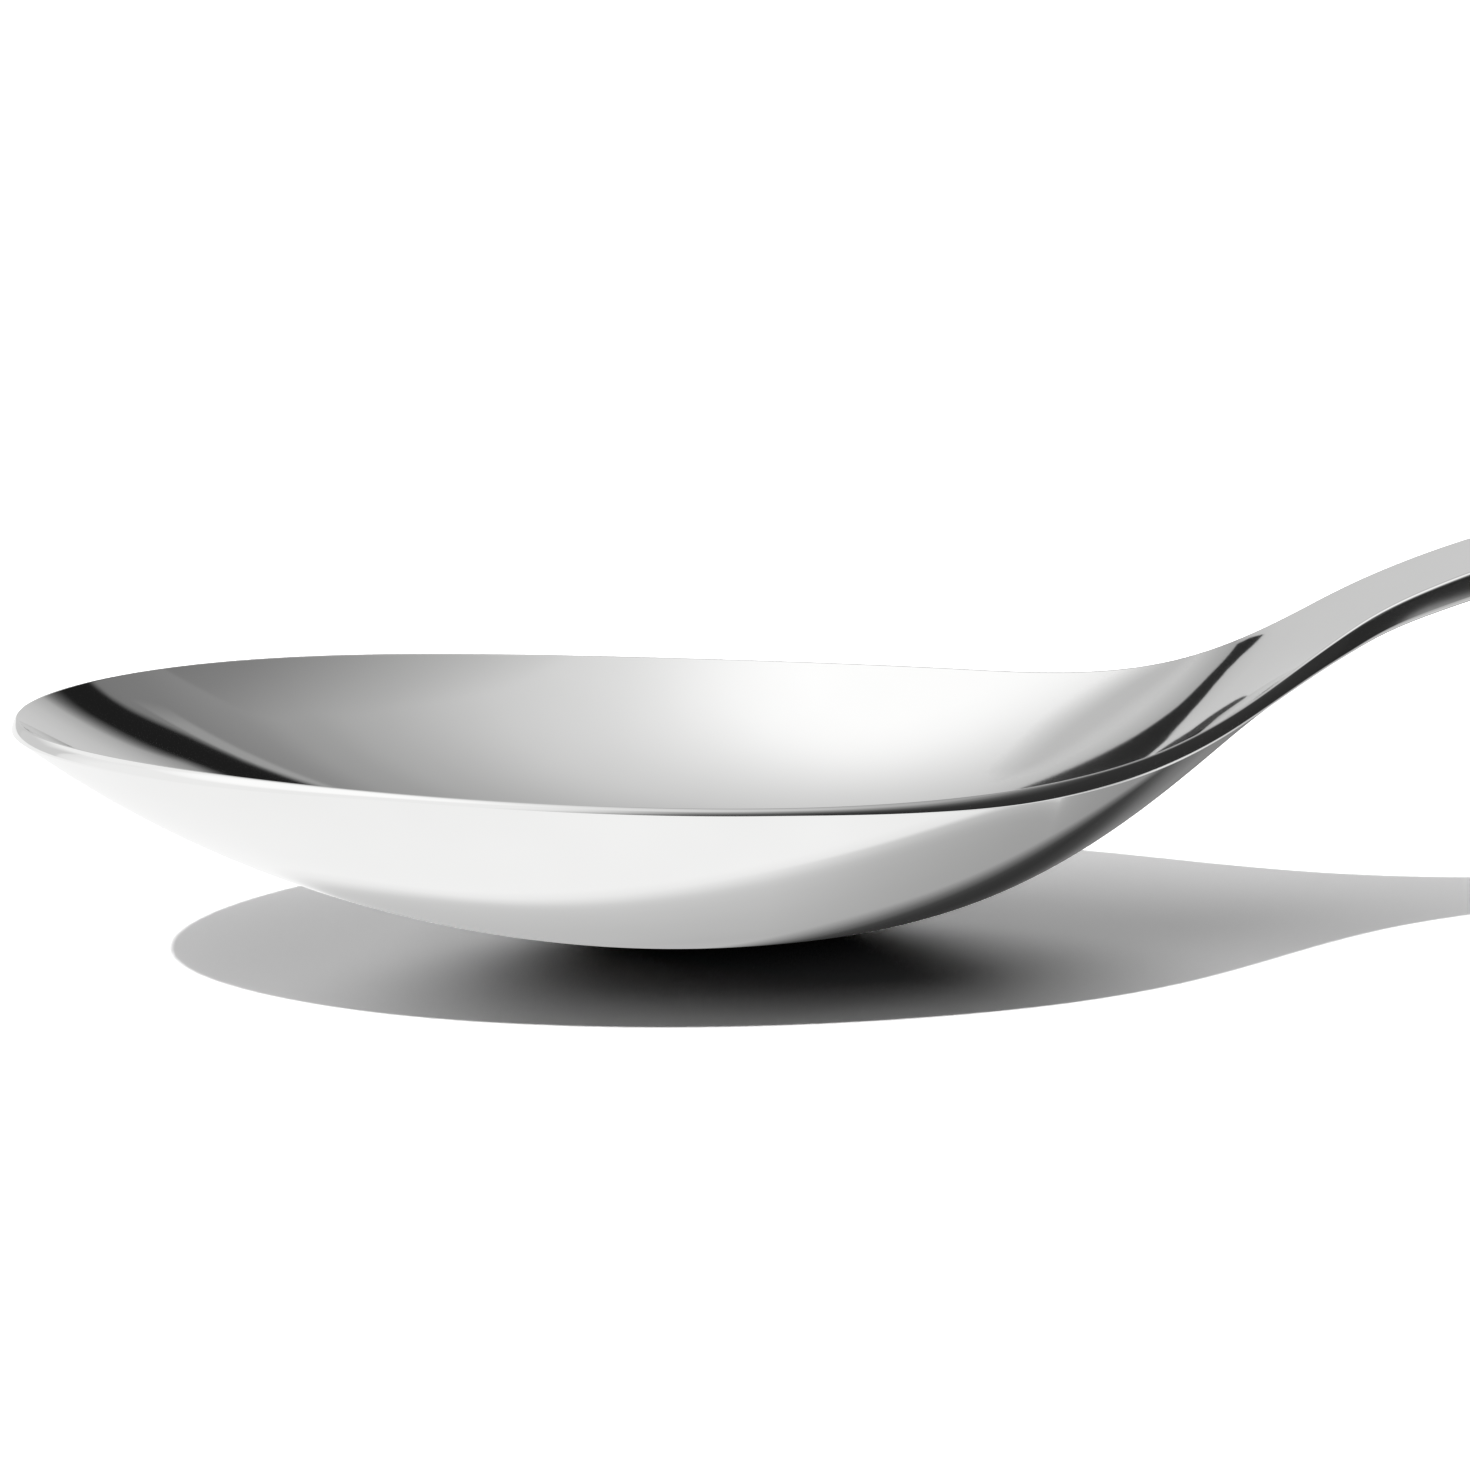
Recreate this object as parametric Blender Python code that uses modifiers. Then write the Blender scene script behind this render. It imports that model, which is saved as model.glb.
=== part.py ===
"""Serving spoon: a pressed steel head whose tang is set in a hollow two-shell handle.

Metres, +Z up. The spoon lies as on a table, on the bottom of its bowl and on the tail of its
handle. Sizes along it are measured from the tip of the bowl, and the whole is then centred.
"""
import math

import bmesh
import bpy
import numpy as np

# Bowl: sizes of the pressed wall's middle, heights above the table
BOWL_LENGTH = 0.100
BOWL_WIDTH = 0.066
BOWL_WALL = 0.0012
TIP_HEIGHT = 0.0196
TIP_RAKE = math.radians(38.0)
FORE_HEIGHT = 0.0060
HEEL_HEIGHT = 0.0034
NECK_HEIGHT = 0.0149
RIM_MIDDLE_HEIGHT = 0.0174
RIM_HEEL_HEIGHT = 0.0167
RIM_NECK_HEIGHT = 0.0187

# Where those heights lie, as shares of the bowl's length, and how full its curves are
FORE_AT = 0.25
REST_AT = 0.62
HEEL_AT = 0.80
RIM_MIDDLE_AT = 0.50
RIM_HEEL_AT = 0.85
NECK_AT = 0.80
OUTLINE_FULLNESS = 0.03
SECTION_FULLNESS = 0.50

# Neck and stem, measured from the end of the bowl
NECK_RUN = 0.019
DISH_RUN = 0.0125
WALL_RUN = 0.026
NECK_RISE_RUN = 0.009
NECK_RISE_HEIGHT = 0.0222
STEM_RISE_RUN = 0.020
STEM_RISE_HEIGHT = 0.0273
STEM_LENGTH = 0.058
STEM_WIDTH = 0.0112
STEM_THICKNESS = 0.0025
CROWN_HEIGHT = 0.0334

# Tang, measured from the mouth of the handle
TANG_LENGTH = 0.062
TANG_WIDTH = 0.0082
KEY_HOLE = 0.0046
KEY_HOLE_FROM_END = 0.010
KEY_HOLE_PITCH = 0.024
KEY_HOLE_COUNT = 2

# Handle shells
HANDLE_LENGTH = 0.135
HANDLE_WIDTH = 0.0235
HANDLE_HEIGHT = 0.0128
BELLY_FROM_MOUTH = 0.062
TAIL_THICKNESS = 0.0084
TAIL_ROUND = 0.012
TAIL_SLOPE = math.radians(-4.0)
SHELL_WALL = 0.0009
SQUARENESS = 3.2

# Collar at the mouth, filler round the tang, tube of the hanging hole
COLLAR_LENGTH = 0.007
COLLAR_NOSE_WALL = 0.0012
COLLAR_SPIGOT = 0.006
SPIGOT_SIDE_WALL = 0.0014
SPIGOT_ROOF_WALL = 0.0022
FILLER_END_COVER = 0.008
HANG_BORE = 0.010
HANG_TUBE_WALL = 0.0011
HANG_TUBE_CHAMFER = 0.0002
HANG_TUBE_PROUD = 0.0003
HANG_FROM_TAIL = 0.0145

# Clearances between pieces, and the softened edge of the head
FIT_GAP = 0.0003
SEAM_GAP = 0.0003
EDGE_ROUND = 0.0003

# Fineness of the meshes
TIP_RUN = 0.020
TIP_ROWS = 5
ROW_STEP = 0.0048
TANG_ROW_STEP = 0.009
HEAD_COLUMNS = 14
HANDLE_ROW_STEP = 0.0062
TAIL_ROWS = 7
SECTION_POINTS = 32
ROUND_STEPS = 48

# Places along the spoon, from the tip
MOUTH = BOWL_LENGTH + STEM_LENGTH
TANG_END = MOUTH + TANG_LENGTH
TAIL_END = MOUTH + HANDLE_LENGTH
TAIL_START = TAIL_END - TAIL_ROUND
HANG_AT = TAIL_END - HANG_FROM_TAIL
TIP_OVERHANG = BOWL_WALL / 2 * math.sin(TIP_RAKE)
MIDDLE = (TAIL_END - TIP_OVERHANG) / 2


class Rail:
    """A smooth curve through a few points, with a set slope at each end."""

    def __init__(self, at, value, first_slope, last_slope):
        self.at = np.array(at)
        self.value = np.array(value)
        step = np.diff(self.at)
        rise = np.diff(self.value) / step
        count = len(at)
        matrix = np.eye(count)
        right = np.zeros(count)
        right[0] = first_slope
        right[-1] = last_slope
        for i in range(1, count - 1):
            before, after = 1 / step[i - 1], 1 / step[i]
            matrix[i, i - 1:i + 2] = before, 2 * (before + after), after
            right[i] = 3 * (rise[i - 1] * before + rise[i] * after)
        self.slopes = np.linalg.solve(matrix, right)

    def _piece(self, x):
        i = np.clip(np.searchsorted(self.at, x) - 1, 0, len(self.at) - 2)
        step = self.at[i + 1] - self.at[i]
        return i, step, (x - self.at[i]) / step

    def height(self, x):
        i, step, s = self._piece(x)
        start = (1 + 2 * s) * (1 - s) ** 2 * self.value[i] + s * (1 - s) ** 2 * step * self.slopes[i]
        end = s * s * (3 - 2 * s) * self.value[i + 1] + s * s * (s - 1) * step * self.slopes[i + 1]
        return start + end

    def slope(self, x):
        i, step, s = self._piece(x)
        rise = 6 * s * (1 - s) * (self.value[i + 1] - self.value[i]) / step
        return rise + (1 - s) * (1 - 3 * s) * self.slopes[i] + s * (3 * s - 2) * self.slopes[i + 1]


def ease(share):
    """From 0 to 1 with level ends."""
    share = np.clip(share, 0.0, 1.0)
    return share * share * (3 - 2 * share)


# Handle sections: half sizes at the mouth follow from the stem, the collar and the shell's wall

def stem_half_width(x):
    """Straight taper from the neck to the end of the tang."""
    start = BOWL_LENGTH + NECK_RUN
    share = (x - start) / (TANG_END - start)
    return (STEM_WIDTH + (TANG_WIDTH - STEM_WIDTH) * share) / 2


SLOT_HALF_WIDTH = stem_half_width(MOUTH - COLLAR_LENGTH) + FIT_GAP
SLOT_HALF_HEIGHT = STEM_THICKNESS / 2 + FIT_GAP
SPIGOT_HALF_WIDTH = SLOT_HALF_WIDTH + SPIGOT_SIDE_WALL
SPIGOT_HALF_HEIGHT = SLOT_HALF_HEIGHT + SPIGOT_ROOF_WALL
MOUTH_HALF_WIDTH = SPIGOT_HALF_WIDTH + FIT_GAP + SHELL_WALL
MOUTH_HALF_HEIGHT = SPIGOT_HALF_HEIGHT + FIT_GAP + SHELL_WALL

PLAN = Rail((MOUTH, TAIL_START), (MOUTH_HALF_WIDTH, HANDLE_WIDTH / 2), 0.0, 0.0)
DEPTH = Rail(
    (MOUTH, MOUTH + BELLY_FROM_MOUTH, TAIL_START),
    (MOUTH_HALF_HEIGHT, HANDLE_HEIGHT / 2, TAIL_THICKNESS / 2), 0.0, 0.0)


def handle_half_sizes(x):
    """Half width and half height of the handle's outside, rounded off at the tail."""
    tail = np.clip((x - TAIL_START) / TAIL_ROUND, 0.0, 1.0)
    inside = np.minimum(x, TAIL_START)
    return PLAN.height(inside) * np.sqrt(1 - tail ** 2), DEPTH.height(inside) * np.sqrt(1 - tail ** 4)


HANG_TUBE_HALF = handle_half_sizes(HANG_AT)[1] + SEAM_GAP / 2 + HANG_TUBE_PROUD


# Spine: the middle of the wall along the centre line, from the tip through stem and handle

def make_spine(tail_height):
    """The spine with its tail at a given height, and the bowl's bottom on the table."""
    at = (0.0, FORE_AT * BOWL_LENGTH, REST_AT * BOWL_LENGTH, HEEL_AT * BOWL_LENGTH, BOWL_LENGTH,
          BOWL_LENGTH + NECK_RISE_RUN, BOWL_LENGTH + STEM_RISE_RUN, MOUTH, TAIL_END)
    height = (TIP_HEIGHT, FORE_HEIGHT, BOWL_WALL / 2, HEEL_HEIGHT, NECK_HEIGHT,
              NECK_RISE_HEIGHT, STEM_RISE_HEIGHT, CROWN_HEIGHT, tail_height)
    rail = Rail(at, height, -math.tan(TIP_RAKE), math.tan(TAIL_SLOPE))
    lowest = rail.height(np.linspace(0.0, BOWL_LENGTH, 400)).min()
    rail.value = rail.value - (lowest - BOWL_WALL / 2)
    return rail


def lowest_of_handle(spine):
    """Height of the lowest point of the lower shell or of the hanging tube's lower edge."""
    x = np.linspace(MOUTH, TAIL_END, 600)
    half_height = handle_half_sizes(x)[1] + SEAM_GAP / 2
    shell = (spine.height(x) - half_height * np.cos(np.arctan(spine.slope(x)))).min()
    lean = math.atan(spine.slope(HANG_AT))
    edge_radius = HANG_BORE / 2 + HANG_TUBE_WALL
    tube = spine.height(HANG_AT) - HANG_TUBE_HALF * math.cos(lean) - edge_radius * abs(math.sin(lean))
    return min(shell, tube)


def find_spine():
    """The spine whose handle just touches the table at its tail."""
    tail_height = TAIL_THICKNESS / 2
    for _ in range(6):
        tail_height -= lowest_of_handle(make_spine(tail_height))
    return make_spine(tail_height)


SPINE = find_spine()


# Head: the plan outline, the dish and the wall of one pressed blank

def bowl_half_width(x):
    turn = math.pi * x / BOWL_LENGTH
    square = (np.sin(turn) + OUTLINE_FULLNESS * np.sin(3 * turn)) / (1 - OUTLINE_FULLNESS)
    return BOWL_WIDTH / 2 * np.sqrt(np.maximum(square, 0.0))


def neck_curve():
    """Quintic from the bowl's outline to the stem's side, matching slope and bend at both ends."""
    start, end = NECK_AT * BOWL_LENGTH, BOWL_LENGTH + NECK_RUN
    run, d = end - start, BOWL_LENGTH * 1e-4
    before, here, after = (bowl_half_width(start + k * d) for k in (-1, 0, 1))
    taper = (TANG_WIDTH - STEM_WIDTH) / 2 / (TANG_END - end)
    wanted = (here, (after - before) / (2 * d) * run, (after - 2 * here + before) / d ** 2 * run ** 2,
              STEM_WIDTH / 2, taper * run, 0.0)
    powers = np.arange(6)
    rows = []
    for s in (0.0, 1.0):
        rows.append(s ** powers)
        rows.append(powers * s ** np.maximum(powers - 1, 0))
        rows.append(powers * (powers - 1) * s ** np.maximum(powers - 2, 0))
    return start, run, np.linalg.solve(np.array(rows), np.array(wanted))


NECK_FROM, NECK_LENGTH, NECK_SHAPE = neck_curve()


def half_width(x):
    if x <= NECK_FROM:
        return float(bowl_half_width(x))
    if x >= NECK_FROM + NECK_LENGTH:
        return float(stem_half_width(x))
    return float(np.polyval(NECK_SHAPE[::-1], (x - NECK_FROM) / NECK_LENGTH))


DISH_END = BOWL_LENGTH + DISH_RUN
RIM = Rail(
    (0.0, RIM_MIDDLE_AT * BOWL_LENGTH, RIM_HEEL_AT * BOWL_LENGTH, BOWL_LENGTH, DISH_END),
    (SPINE.height(0.0), RIM_MIDDLE_HEIGHT, RIM_HEEL_HEIGHT, RIM_NECK_HEIGHT, SPINE.height(DISH_END)),
    0.0, SPINE.slope(DISH_END))


def wall_point(x, across):
    """Middle of the wall at a distance from the tip, across from -1 to 1 over the width."""
    dish = RIM.height(x) - SPINE.height(x) if x < DISH_END else 0.0
    full = SECTION_FULLNESS * math.sin(math.pi * min(x / BOWL_LENGTH, 1.0))
    rise = dish * ((1 - full) * across ** 2 + full * across ** 4)
    return x, across * half_width(x), SPINE.height(x) + rise


def wall_thickness(x):
    return BOWL_WALL + (STEM_THICKNESS - BOWL_WALL) * ease((x - BOWL_LENGTH) / WALL_RUN)


# Points in the handle's own frame: across, and square to the spine

def handle_point(x, across, out):
    lean = math.atan(SPINE.slope(x))
    return x - out * math.sin(lean), across, SPINE.height(x) + out * math.cos(lean)


def squared(angle):
    """A point of a unit section between an ellipse and a rectangle."""
    c, s = math.cos(angle), math.sin(angle)
    return math.copysign(abs(c) ** (2 / SQUARENESS), c), math.copysign(abs(s) ** (2 / SQUARENESS), s)


def section(x, half_wide, half_high):
    angles = (2 * math.pi * j / SECTION_POINTS for j in range(SECTION_POINTS))
    return [handle_point(x, half_wide * c, half_high * s) for c, s in map(squared, angles)]


def steps(start, end, step):
    return np.linspace(start, end, max(2, round((end - start) / step) + 1))


# Meshes and objects

def sheet(rows):
    """An open surface through rows of points; a row of one point is a pole."""
    mesh = bmesh.new()
    rows = [[mesh.verts.new(point) for point in row] for row in rows]
    for near, far in zip(rows, rows[1:]):
        for j in range(len(max(near, far, key=len)) - 1):
            corners = [row[min(k, len(row) - 1)] for row, k in ((near, j), (near, j + 1), (far, j + 1), (far, j))]
            mesh.faces.new(list(dict.fromkeys(corners)))
    return mesh


def solid(rings):
    """A closed loft through rings of points."""
    mesh = bmesh.new()
    rings = [[mesh.verts.new(point) for point in ring] for ring in rings]
    for near, far in zip(rings, rings[1:]):
        for j in range(len(near)):
            k = (j + 1) % len(near)
            mesh.faces.new((near[j], near[k], far[k], far[j]))
    mesh.faces.new(rings[0])
    mesh.faces.new(rings[-1])
    bmesh.ops.recalc_face_normals(mesh, faces=mesh.faces)
    return mesh


def place(name, mesh, collection, material=None):
    data = bpy.data.meshes.new(name)
    mesh.to_mesh(data)
    mesh.free()
    data.shade_smooth()
    data.set_sharp_from_angle(angle=math.radians(35))
    item = bpy.data.objects.new(name, data)
    item.parent = bpy.data.objects["spoon_middle"]
    collection.objects.link(item)
    if material:
        data.materials.append(material)
    else:
        item.hide_render = True
        item.display_type = "WIRE"
    return item


def cut(item, cutter):
    modifier = item.modifiers.new("cut " + cutter.name, "BOOLEAN")
    modifier.operation = "DIFFERENCE"
    modifier.solver = "EXACT"
    modifier.object = cutter


def thicken(item, thickness, offset):
    modifier = item.modifiers.new("wall", "SOLIDIFY")
    modifier.thickness = thickness
    modifier.offset = offset
    modifier.use_even_offset = True
    modifier.use_quality_normals = True
    return modifier


def round_bar(name, x, radius, half_length, cutters):
    """A cylinder square to the spine, used as a cutter."""
    mesh = bmesh.new()
    bmesh.ops.create_cone(mesh, cap_ends=True, segments=ROUND_STEPS, radius1=radius, radius2=radius,
                          depth=2 * half_length)
    item = place(name, mesh, cutters)
    item.location = handle_point(x, 0.0, 0.0)
    item.rotation_euler.y = -math.atan(SPINE.slope(x))
    return item


def key_holes():
    return [TANG_END - KEY_HOLE_FROM_END - i * KEY_HOLE_PITCH for i in range(KEY_HOLE_COUNT)]


# The pieces

def make_spoon_head(parts, cutters, steel):
    """Bowl, neck, stem and tang of one blank, with the tang's key holes."""
    places = [TIP_RUN * (i / TIP_ROWS) ** 2 for i in range(1, TIP_ROWS)]
    places += list(steps(TIP_RUN, MOUTH, ROW_STEP)) + list(steps(MOUTH, TANG_END, TANG_ROW_STEP))[1:]
    columns = np.linspace(-1.0, 1.0, HEAD_COLUMNS + 1)
    rows = [[wall_point(0.0, 0.0)]] + [[wall_point(x, across) for across in columns] for x in places]
    head = place("spoon_head", sheet(rows), parts, steel)
    group = head.vertex_groups.new(name="wall")
    for vertex in head.data.vertices:
        group.add([vertex.index], float(wall_thickness(vertex.co.x) / STEM_THICKNESS), "REPLACE")
    thicken(head, STEM_THICKNESS, 0.0).vertex_group = group.name
    edge = head.modifiers.new("softened edge", "BEVEL")
    edge.width = EDGE_ROUND
    edge.segments = 2
    edge.limit_method = "ANGLE"
    edge.angle_limit = math.radians(50)
    for i, x in enumerate(key_holes()):
        cut(head, round_bar(f"key_hole_{i + 1}", x, KEY_HOLE / 2, STEM_THICKNESS, cutters))


def make_shell(name, side, parts, hang_cutter, steel):
    """One pressed half of the handle; side is 1 for the upper half, -1 for the lower."""
    places = list(steps(MOUTH, TAIL_START, HANDLE_ROW_STEP))
    places += [TAIL_START + TAIL_ROUND * math.sin(math.pi / 2 * i / TAIL_ROWS) for i in range(1, TAIL_ROWS)]
    angles = [math.pi * j / (SECTION_POINTS // 2) for j in range(SECTION_POINTS // 2 + 1)]
    rows = []
    for x in places:
        half_wide, half_high = handle_half_sizes(x)
        turns = [squared(angle) for angle in angles]
        rows.append([handle_point(x, half_wide * c, side * (SEAM_GAP / 2 + half_high * s)) for c, s in turns])
    rows.append([handle_point(TAIL_END, 0.0, side * SEAM_GAP / 2)])
    if side < 0:
        rows = [row[::-1] for row in rows]
    shell = place(name, sheet(rows), parts, steel)
    thicken(shell, SHELL_WALL, -1.0)
    cut(shell, hang_cutter)


def make_collar(parts, cutters, steel):
    """Flared collar that closes the mouth, with a spigot inside the shells and a slot for the stem."""
    nose = MOUTH - COLLAR_LENGTH
    nose_half_width = SLOT_HALF_WIDTH + COLLAR_NOSE_WALL
    nose_half_height = SLOT_HALF_HEIGHT + COLLAR_NOSE_WALL
    flare = [i / 6 for i in range(7)]
    rings = []
    for share in flare:
        x = nose + (COLLAR_LENGTH - FIT_GAP) * share
        grow = math.sin(math.pi / 2 * share)
        rings.append(section(x, nose_half_width + (MOUTH_HALF_WIDTH - nose_half_width) * grow,
                             nose_half_height + (MOUTH_HALF_HEIGHT + SEAM_GAP / 2 - nose_half_height) * grow))
    for x in (MOUTH - FIT_GAP, MOUTH + COLLAR_SPIGOT):
        rings.append(section(x, SPIGOT_HALF_WIDTH, SPIGOT_HALF_HEIGHT))
    collar = place("collar", solid(rings), parts, steel)
    cut(collar, bar_cutter("stem_slot", nose - COLLAR_LENGTH, MOUTH + 2 * COLLAR_SPIGOT, cutters))


def bar_cutter(name, start, end, cutters):
    """The stem or tang with its clearance all round, from one place to another along the spine."""
    rings = []
    for x in steps(start, end, TANG_ROW_STEP / 2):
        wide, high = stem_half_width(x) + FIT_GAP, SLOT_HALF_HEIGHT
        rings.append([handle_point(x, y, z) for y, z in ((-wide, -high), (wide, -high), (wide, high), (-wide, high))])
    return place(name, solid(rings), cutters)


def make_filler(parts, cutters, resin):
    """Cast core that fills the handle round the tang and through its key holes."""
    start, end = MOUTH + COLLAR_SPIGOT + FIT_GAP, TANG_END + FILLER_END_COVER
    rings = []
    for x in steps(start, end, HANDLE_ROW_STEP):
        half_wide, half_high = handle_half_sizes(x)
        inset = SHELL_WALL + FIT_GAP
        rings.append(section(x, half_wide - inset, half_high + SEAM_GAP / 2 - inset))
    filler = place("tang_filler", solid(rings), parts, resin)
    tang_space = bar_cutter("tang_space", MOUTH, TANG_END + FIT_GAP, cutters)
    for i, x in enumerate(key_holes()):
        cut(tang_space, round_bar(f"key_peg_{i + 1}", x, KEY_HOLE / 2 - FIT_GAP, 2 * STEM_THICKNESS, cutters))
    cut(filler, tang_space)


def make_hang_tube(parts, steel):
    """Turned tube that lines the hanging hole and joins both shells."""
    inner, outer = HANG_BORE / 2, HANG_BORE / 2 + HANG_TUBE_WALL
    half, soft = HANG_TUBE_HALF, HANG_TUBE_CHAMFER
    profile = ((outer - soft, half), (outer, half - soft), (outer, soft - half), (outer - soft, -half),
               (inner + soft, -half), (inner, soft - half), (inner, half - soft), (inner + soft, half))
    mesh = bmesh.new()
    points = [mesh.verts.new((radius, 0.0, height)) for radius, height in profile]
    for first, second in zip(points, points[1:] + points[:1]):
        mesh.edges.new((first, second))
    tube = place("hang_tube", mesh, parts, steel)
    tube.location = handle_point(HANG_AT, 0.0, 0.0)
    tube.rotation_euler.y = -math.atan(SPINE.slope(HANG_AT))
    turn = tube.modifiers.new("turned", "SCREW")
    turn.angle = 2 * math.pi
    turn.steps = turn.render_steps = ROUND_STEPS
    turn.use_merge_vertices = True
    turn.merge_threshold = 1e-5
    turn.use_smooth_shade = True


def metal(name, colour, roughness):
    material = bpy.data.materials.new(name)
    material.use_nodes = True
    shader = material.node_tree.nodes["Principled BSDF"]
    shader.inputs["Base Color"].default_value = (*colour, 1.0)
    shader.inputs["Roughness"].default_value = roughness
    shader.inputs["Metallic"].default_value = 1.0
    return material


def cast_resin(name, colour, roughness):
    material = metal(name, colour, roughness)
    material.node_tree.nodes["Principled BSDF"].inputs["Metallic"].default_value = 0.0
    return material


def main():
    for item in list(bpy.data.objects):
        bpy.data.objects.remove(item, do_unlink=True)
    scene = bpy.context.scene
    parts = bpy.data.collections.new("serving_spoon")
    cutters = bpy.data.collections.new("cutters")
    scene.collection.children.link(parts)
    scene.collection.children.link(cutters)
    middle = bpy.data.objects.new("spoon_middle", None)
    middle.location.x = -MIDDLE
    parts.objects.link(middle)

    mirror_steel = metal("mirror_steel", (0.80, 0.80, 0.79), 0.06)
    satin_steel = metal("satin_steel", (0.72, 0.72, 0.71), 0.28)
    resin = cast_resin("grey_resin", (0.30, 0.30, 0.28), 0.6)

    make_spoon_head(parts, cutters, mirror_steel)
    hang_radius = HANG_BORE / 2 + HANG_TUBE_WALL + FIT_GAP
    hang_cutter = round_bar("hang_hole", HANG_AT, hang_radius, TAIL_THICKNESS, cutters)
    make_shell("handle_upper_shell", 1, parts, hang_cutter, satin_steel)
    make_shell("handle_lower_shell", -1, parts, hang_cutter, satin_steel)
    make_collar(parts, cutters, mirror_steel)
    make_filler(parts, cutters, resin)
    make_hang_tube(parts, mirror_steel)


main()
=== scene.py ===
"""Serving spoon: the finished look of each piece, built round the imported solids.

Metres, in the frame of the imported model. Places along the spoon are measured from the tip of its
bowl, and MIDDLE takes them to the middle of the model.
"""
import math
from functools import partialmethod

import bmesh
import bpy
import numpy as np
from mathutils import Matrix, Vector


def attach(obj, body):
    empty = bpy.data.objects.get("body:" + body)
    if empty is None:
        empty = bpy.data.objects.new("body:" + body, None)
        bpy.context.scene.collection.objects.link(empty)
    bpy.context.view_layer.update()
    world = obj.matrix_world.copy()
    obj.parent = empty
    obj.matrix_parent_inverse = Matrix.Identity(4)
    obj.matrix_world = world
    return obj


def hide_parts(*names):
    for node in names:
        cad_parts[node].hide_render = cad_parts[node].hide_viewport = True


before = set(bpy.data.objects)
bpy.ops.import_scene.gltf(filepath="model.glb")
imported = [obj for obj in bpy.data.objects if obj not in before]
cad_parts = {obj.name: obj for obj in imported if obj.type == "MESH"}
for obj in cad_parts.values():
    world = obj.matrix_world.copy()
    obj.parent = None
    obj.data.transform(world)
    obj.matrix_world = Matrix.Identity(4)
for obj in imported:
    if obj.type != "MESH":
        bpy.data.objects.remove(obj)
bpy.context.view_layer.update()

# Bowl and neck: the middle of the pressed wall, heights above the table
BOWL_LENGTH = 0.100
BOWL_WIDTH = 0.066
BOWL_WALL = 0.0012
TIP_HEIGHT = 0.0196
TIP_RAKE = math.radians(38.0)
FORE_HEIGHT = 0.0060
HEEL_HEIGHT = 0.0034
NECK_HEIGHT = 0.0149
RIM_MIDDLE_HEIGHT = 0.0174
RIM_HEEL_HEIGHT = 0.0167
RIM_NECK_HEIGHT = 0.0187
FORE_AT = 0.25
REST_AT = 0.62
HEEL_AT = 0.80
RIM_MIDDLE_AT = 0.50
RIM_HEEL_AT = 0.85
NECK_AT = 0.80
OUTLINE_FULLNESS = 0.03
SECTION_FULLNESS = 0.50
NECK_RUN = 0.019
DISH_RUN = 0.0125
WALL_RUN = 0.026
NECK_RISE_RUN = 0.009
NECK_RISE_HEIGHT = 0.0222
STEM_RISE_RUN = 0.020
STEM_RISE_HEIGHT = 0.0273

# Stem and tang
STEM_LENGTH = 0.058
STEM_WIDTH = 0.0112
STEM_THICKNESS = 0.0025
CROWN_HEIGHT = 0.0334
TANG_LENGTH = 0.062
TANG_WIDTH = 0.0082
KEY_HOLE = 0.0046
KEY_HOLE_FROM_END = 0.010
KEY_HOLE_PITCH = 0.024
KEY_HOLE_COUNT = 2
EDGE_ROUND = 0.0003
RIM_CORNER = 0.00015
RIM_LOWER_EDGE = 0.00010
RIM_FOOT = math.radians(7.0)
RIM_HEAD = math.radians(30.0)
RIM_TILT_FROM, RIM_TILT_TO = 0.070, 0.088
RIM_FACE_STEPS = 10
RIM_THINNING = 0.40
THIN_FROM, THIN_TO = (0.010, 0.030), (0.080, 0.056)
THIN_MARGIN = 0.30

# Handle shells
HANDLE_LENGTH = 0.135
HANDLE_WIDTH = 0.0235
HANDLE_HEIGHT = 0.0128
BELLY_FROM_MOUTH = 0.062
TAIL_THICKNESS = 0.0084
TAIL_ROUND = 0.012
TAIL_SLOPE = math.radians(-4.0)
SHELL_WALL = 0.0009
SHELL_EDGE = 0.00016
SQUARENESS = 3.2
SLOT_SQUARENESS = 10.0

# Collar, hanging tube and the clearances between the pieces
COLLAR_LENGTH = 0.007
COLLAR_NOSE_WALL = 0.0012
COLLAR_EDGE = 0.0005
COLLAR_SPIGOT = 0.006
SPIGOT_SIDE_WALL = 0.0014
SPIGOT_ROOF_WALL = 0.0022
HANG_BORE = 0.010
HANG_TUBE_WALL = 0.0011
HANG_TUBE_PROUD = 0.0003
HANG_TUBE_LIP = 0.0003
HANG_FROM_TAIL = 0.0145
FIT_GAP = 0.0003
SEAM_GAP = 0.0003

# Fineness of the meshes
TIP_RUN = 0.020
TIP_ROWS = 64
BOWL_ROW_STEP = 0.0009
TANG_ROW_STEP = 0.003
HEAD_COLUMNS = 88
CORNER_STEPS = 5
HANDLE_ROW_STEP = 0.0012
TAIL_ROWS = 40
SECTION_POINTS = 96
COLLAR_ROWS = 24
SLOT_ROWS = 12
ROUND_STEPS = 128
HOLE_EDGE_ANGLE = math.radians(35)

# Places along the spoon, from the tip
MOUTH = BOWL_LENGTH + STEM_LENGTH
TANG_END = MOUTH + TANG_LENGTH
TAIL_END = MOUTH + HANDLE_LENGTH
TAIL_START = TAIL_END - TAIL_ROUND
HANG_AT = TAIL_END - HANG_FROM_TAIL
MIDDLE = (TAIL_END - BOWL_WALL / 2 * math.sin(TIP_RAKE)) / 2
NEARLY_TIP = 1e-7
TO_MIDDLE = Matrix.Translation((-MIDDLE, 0.0, 0.0))

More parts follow.
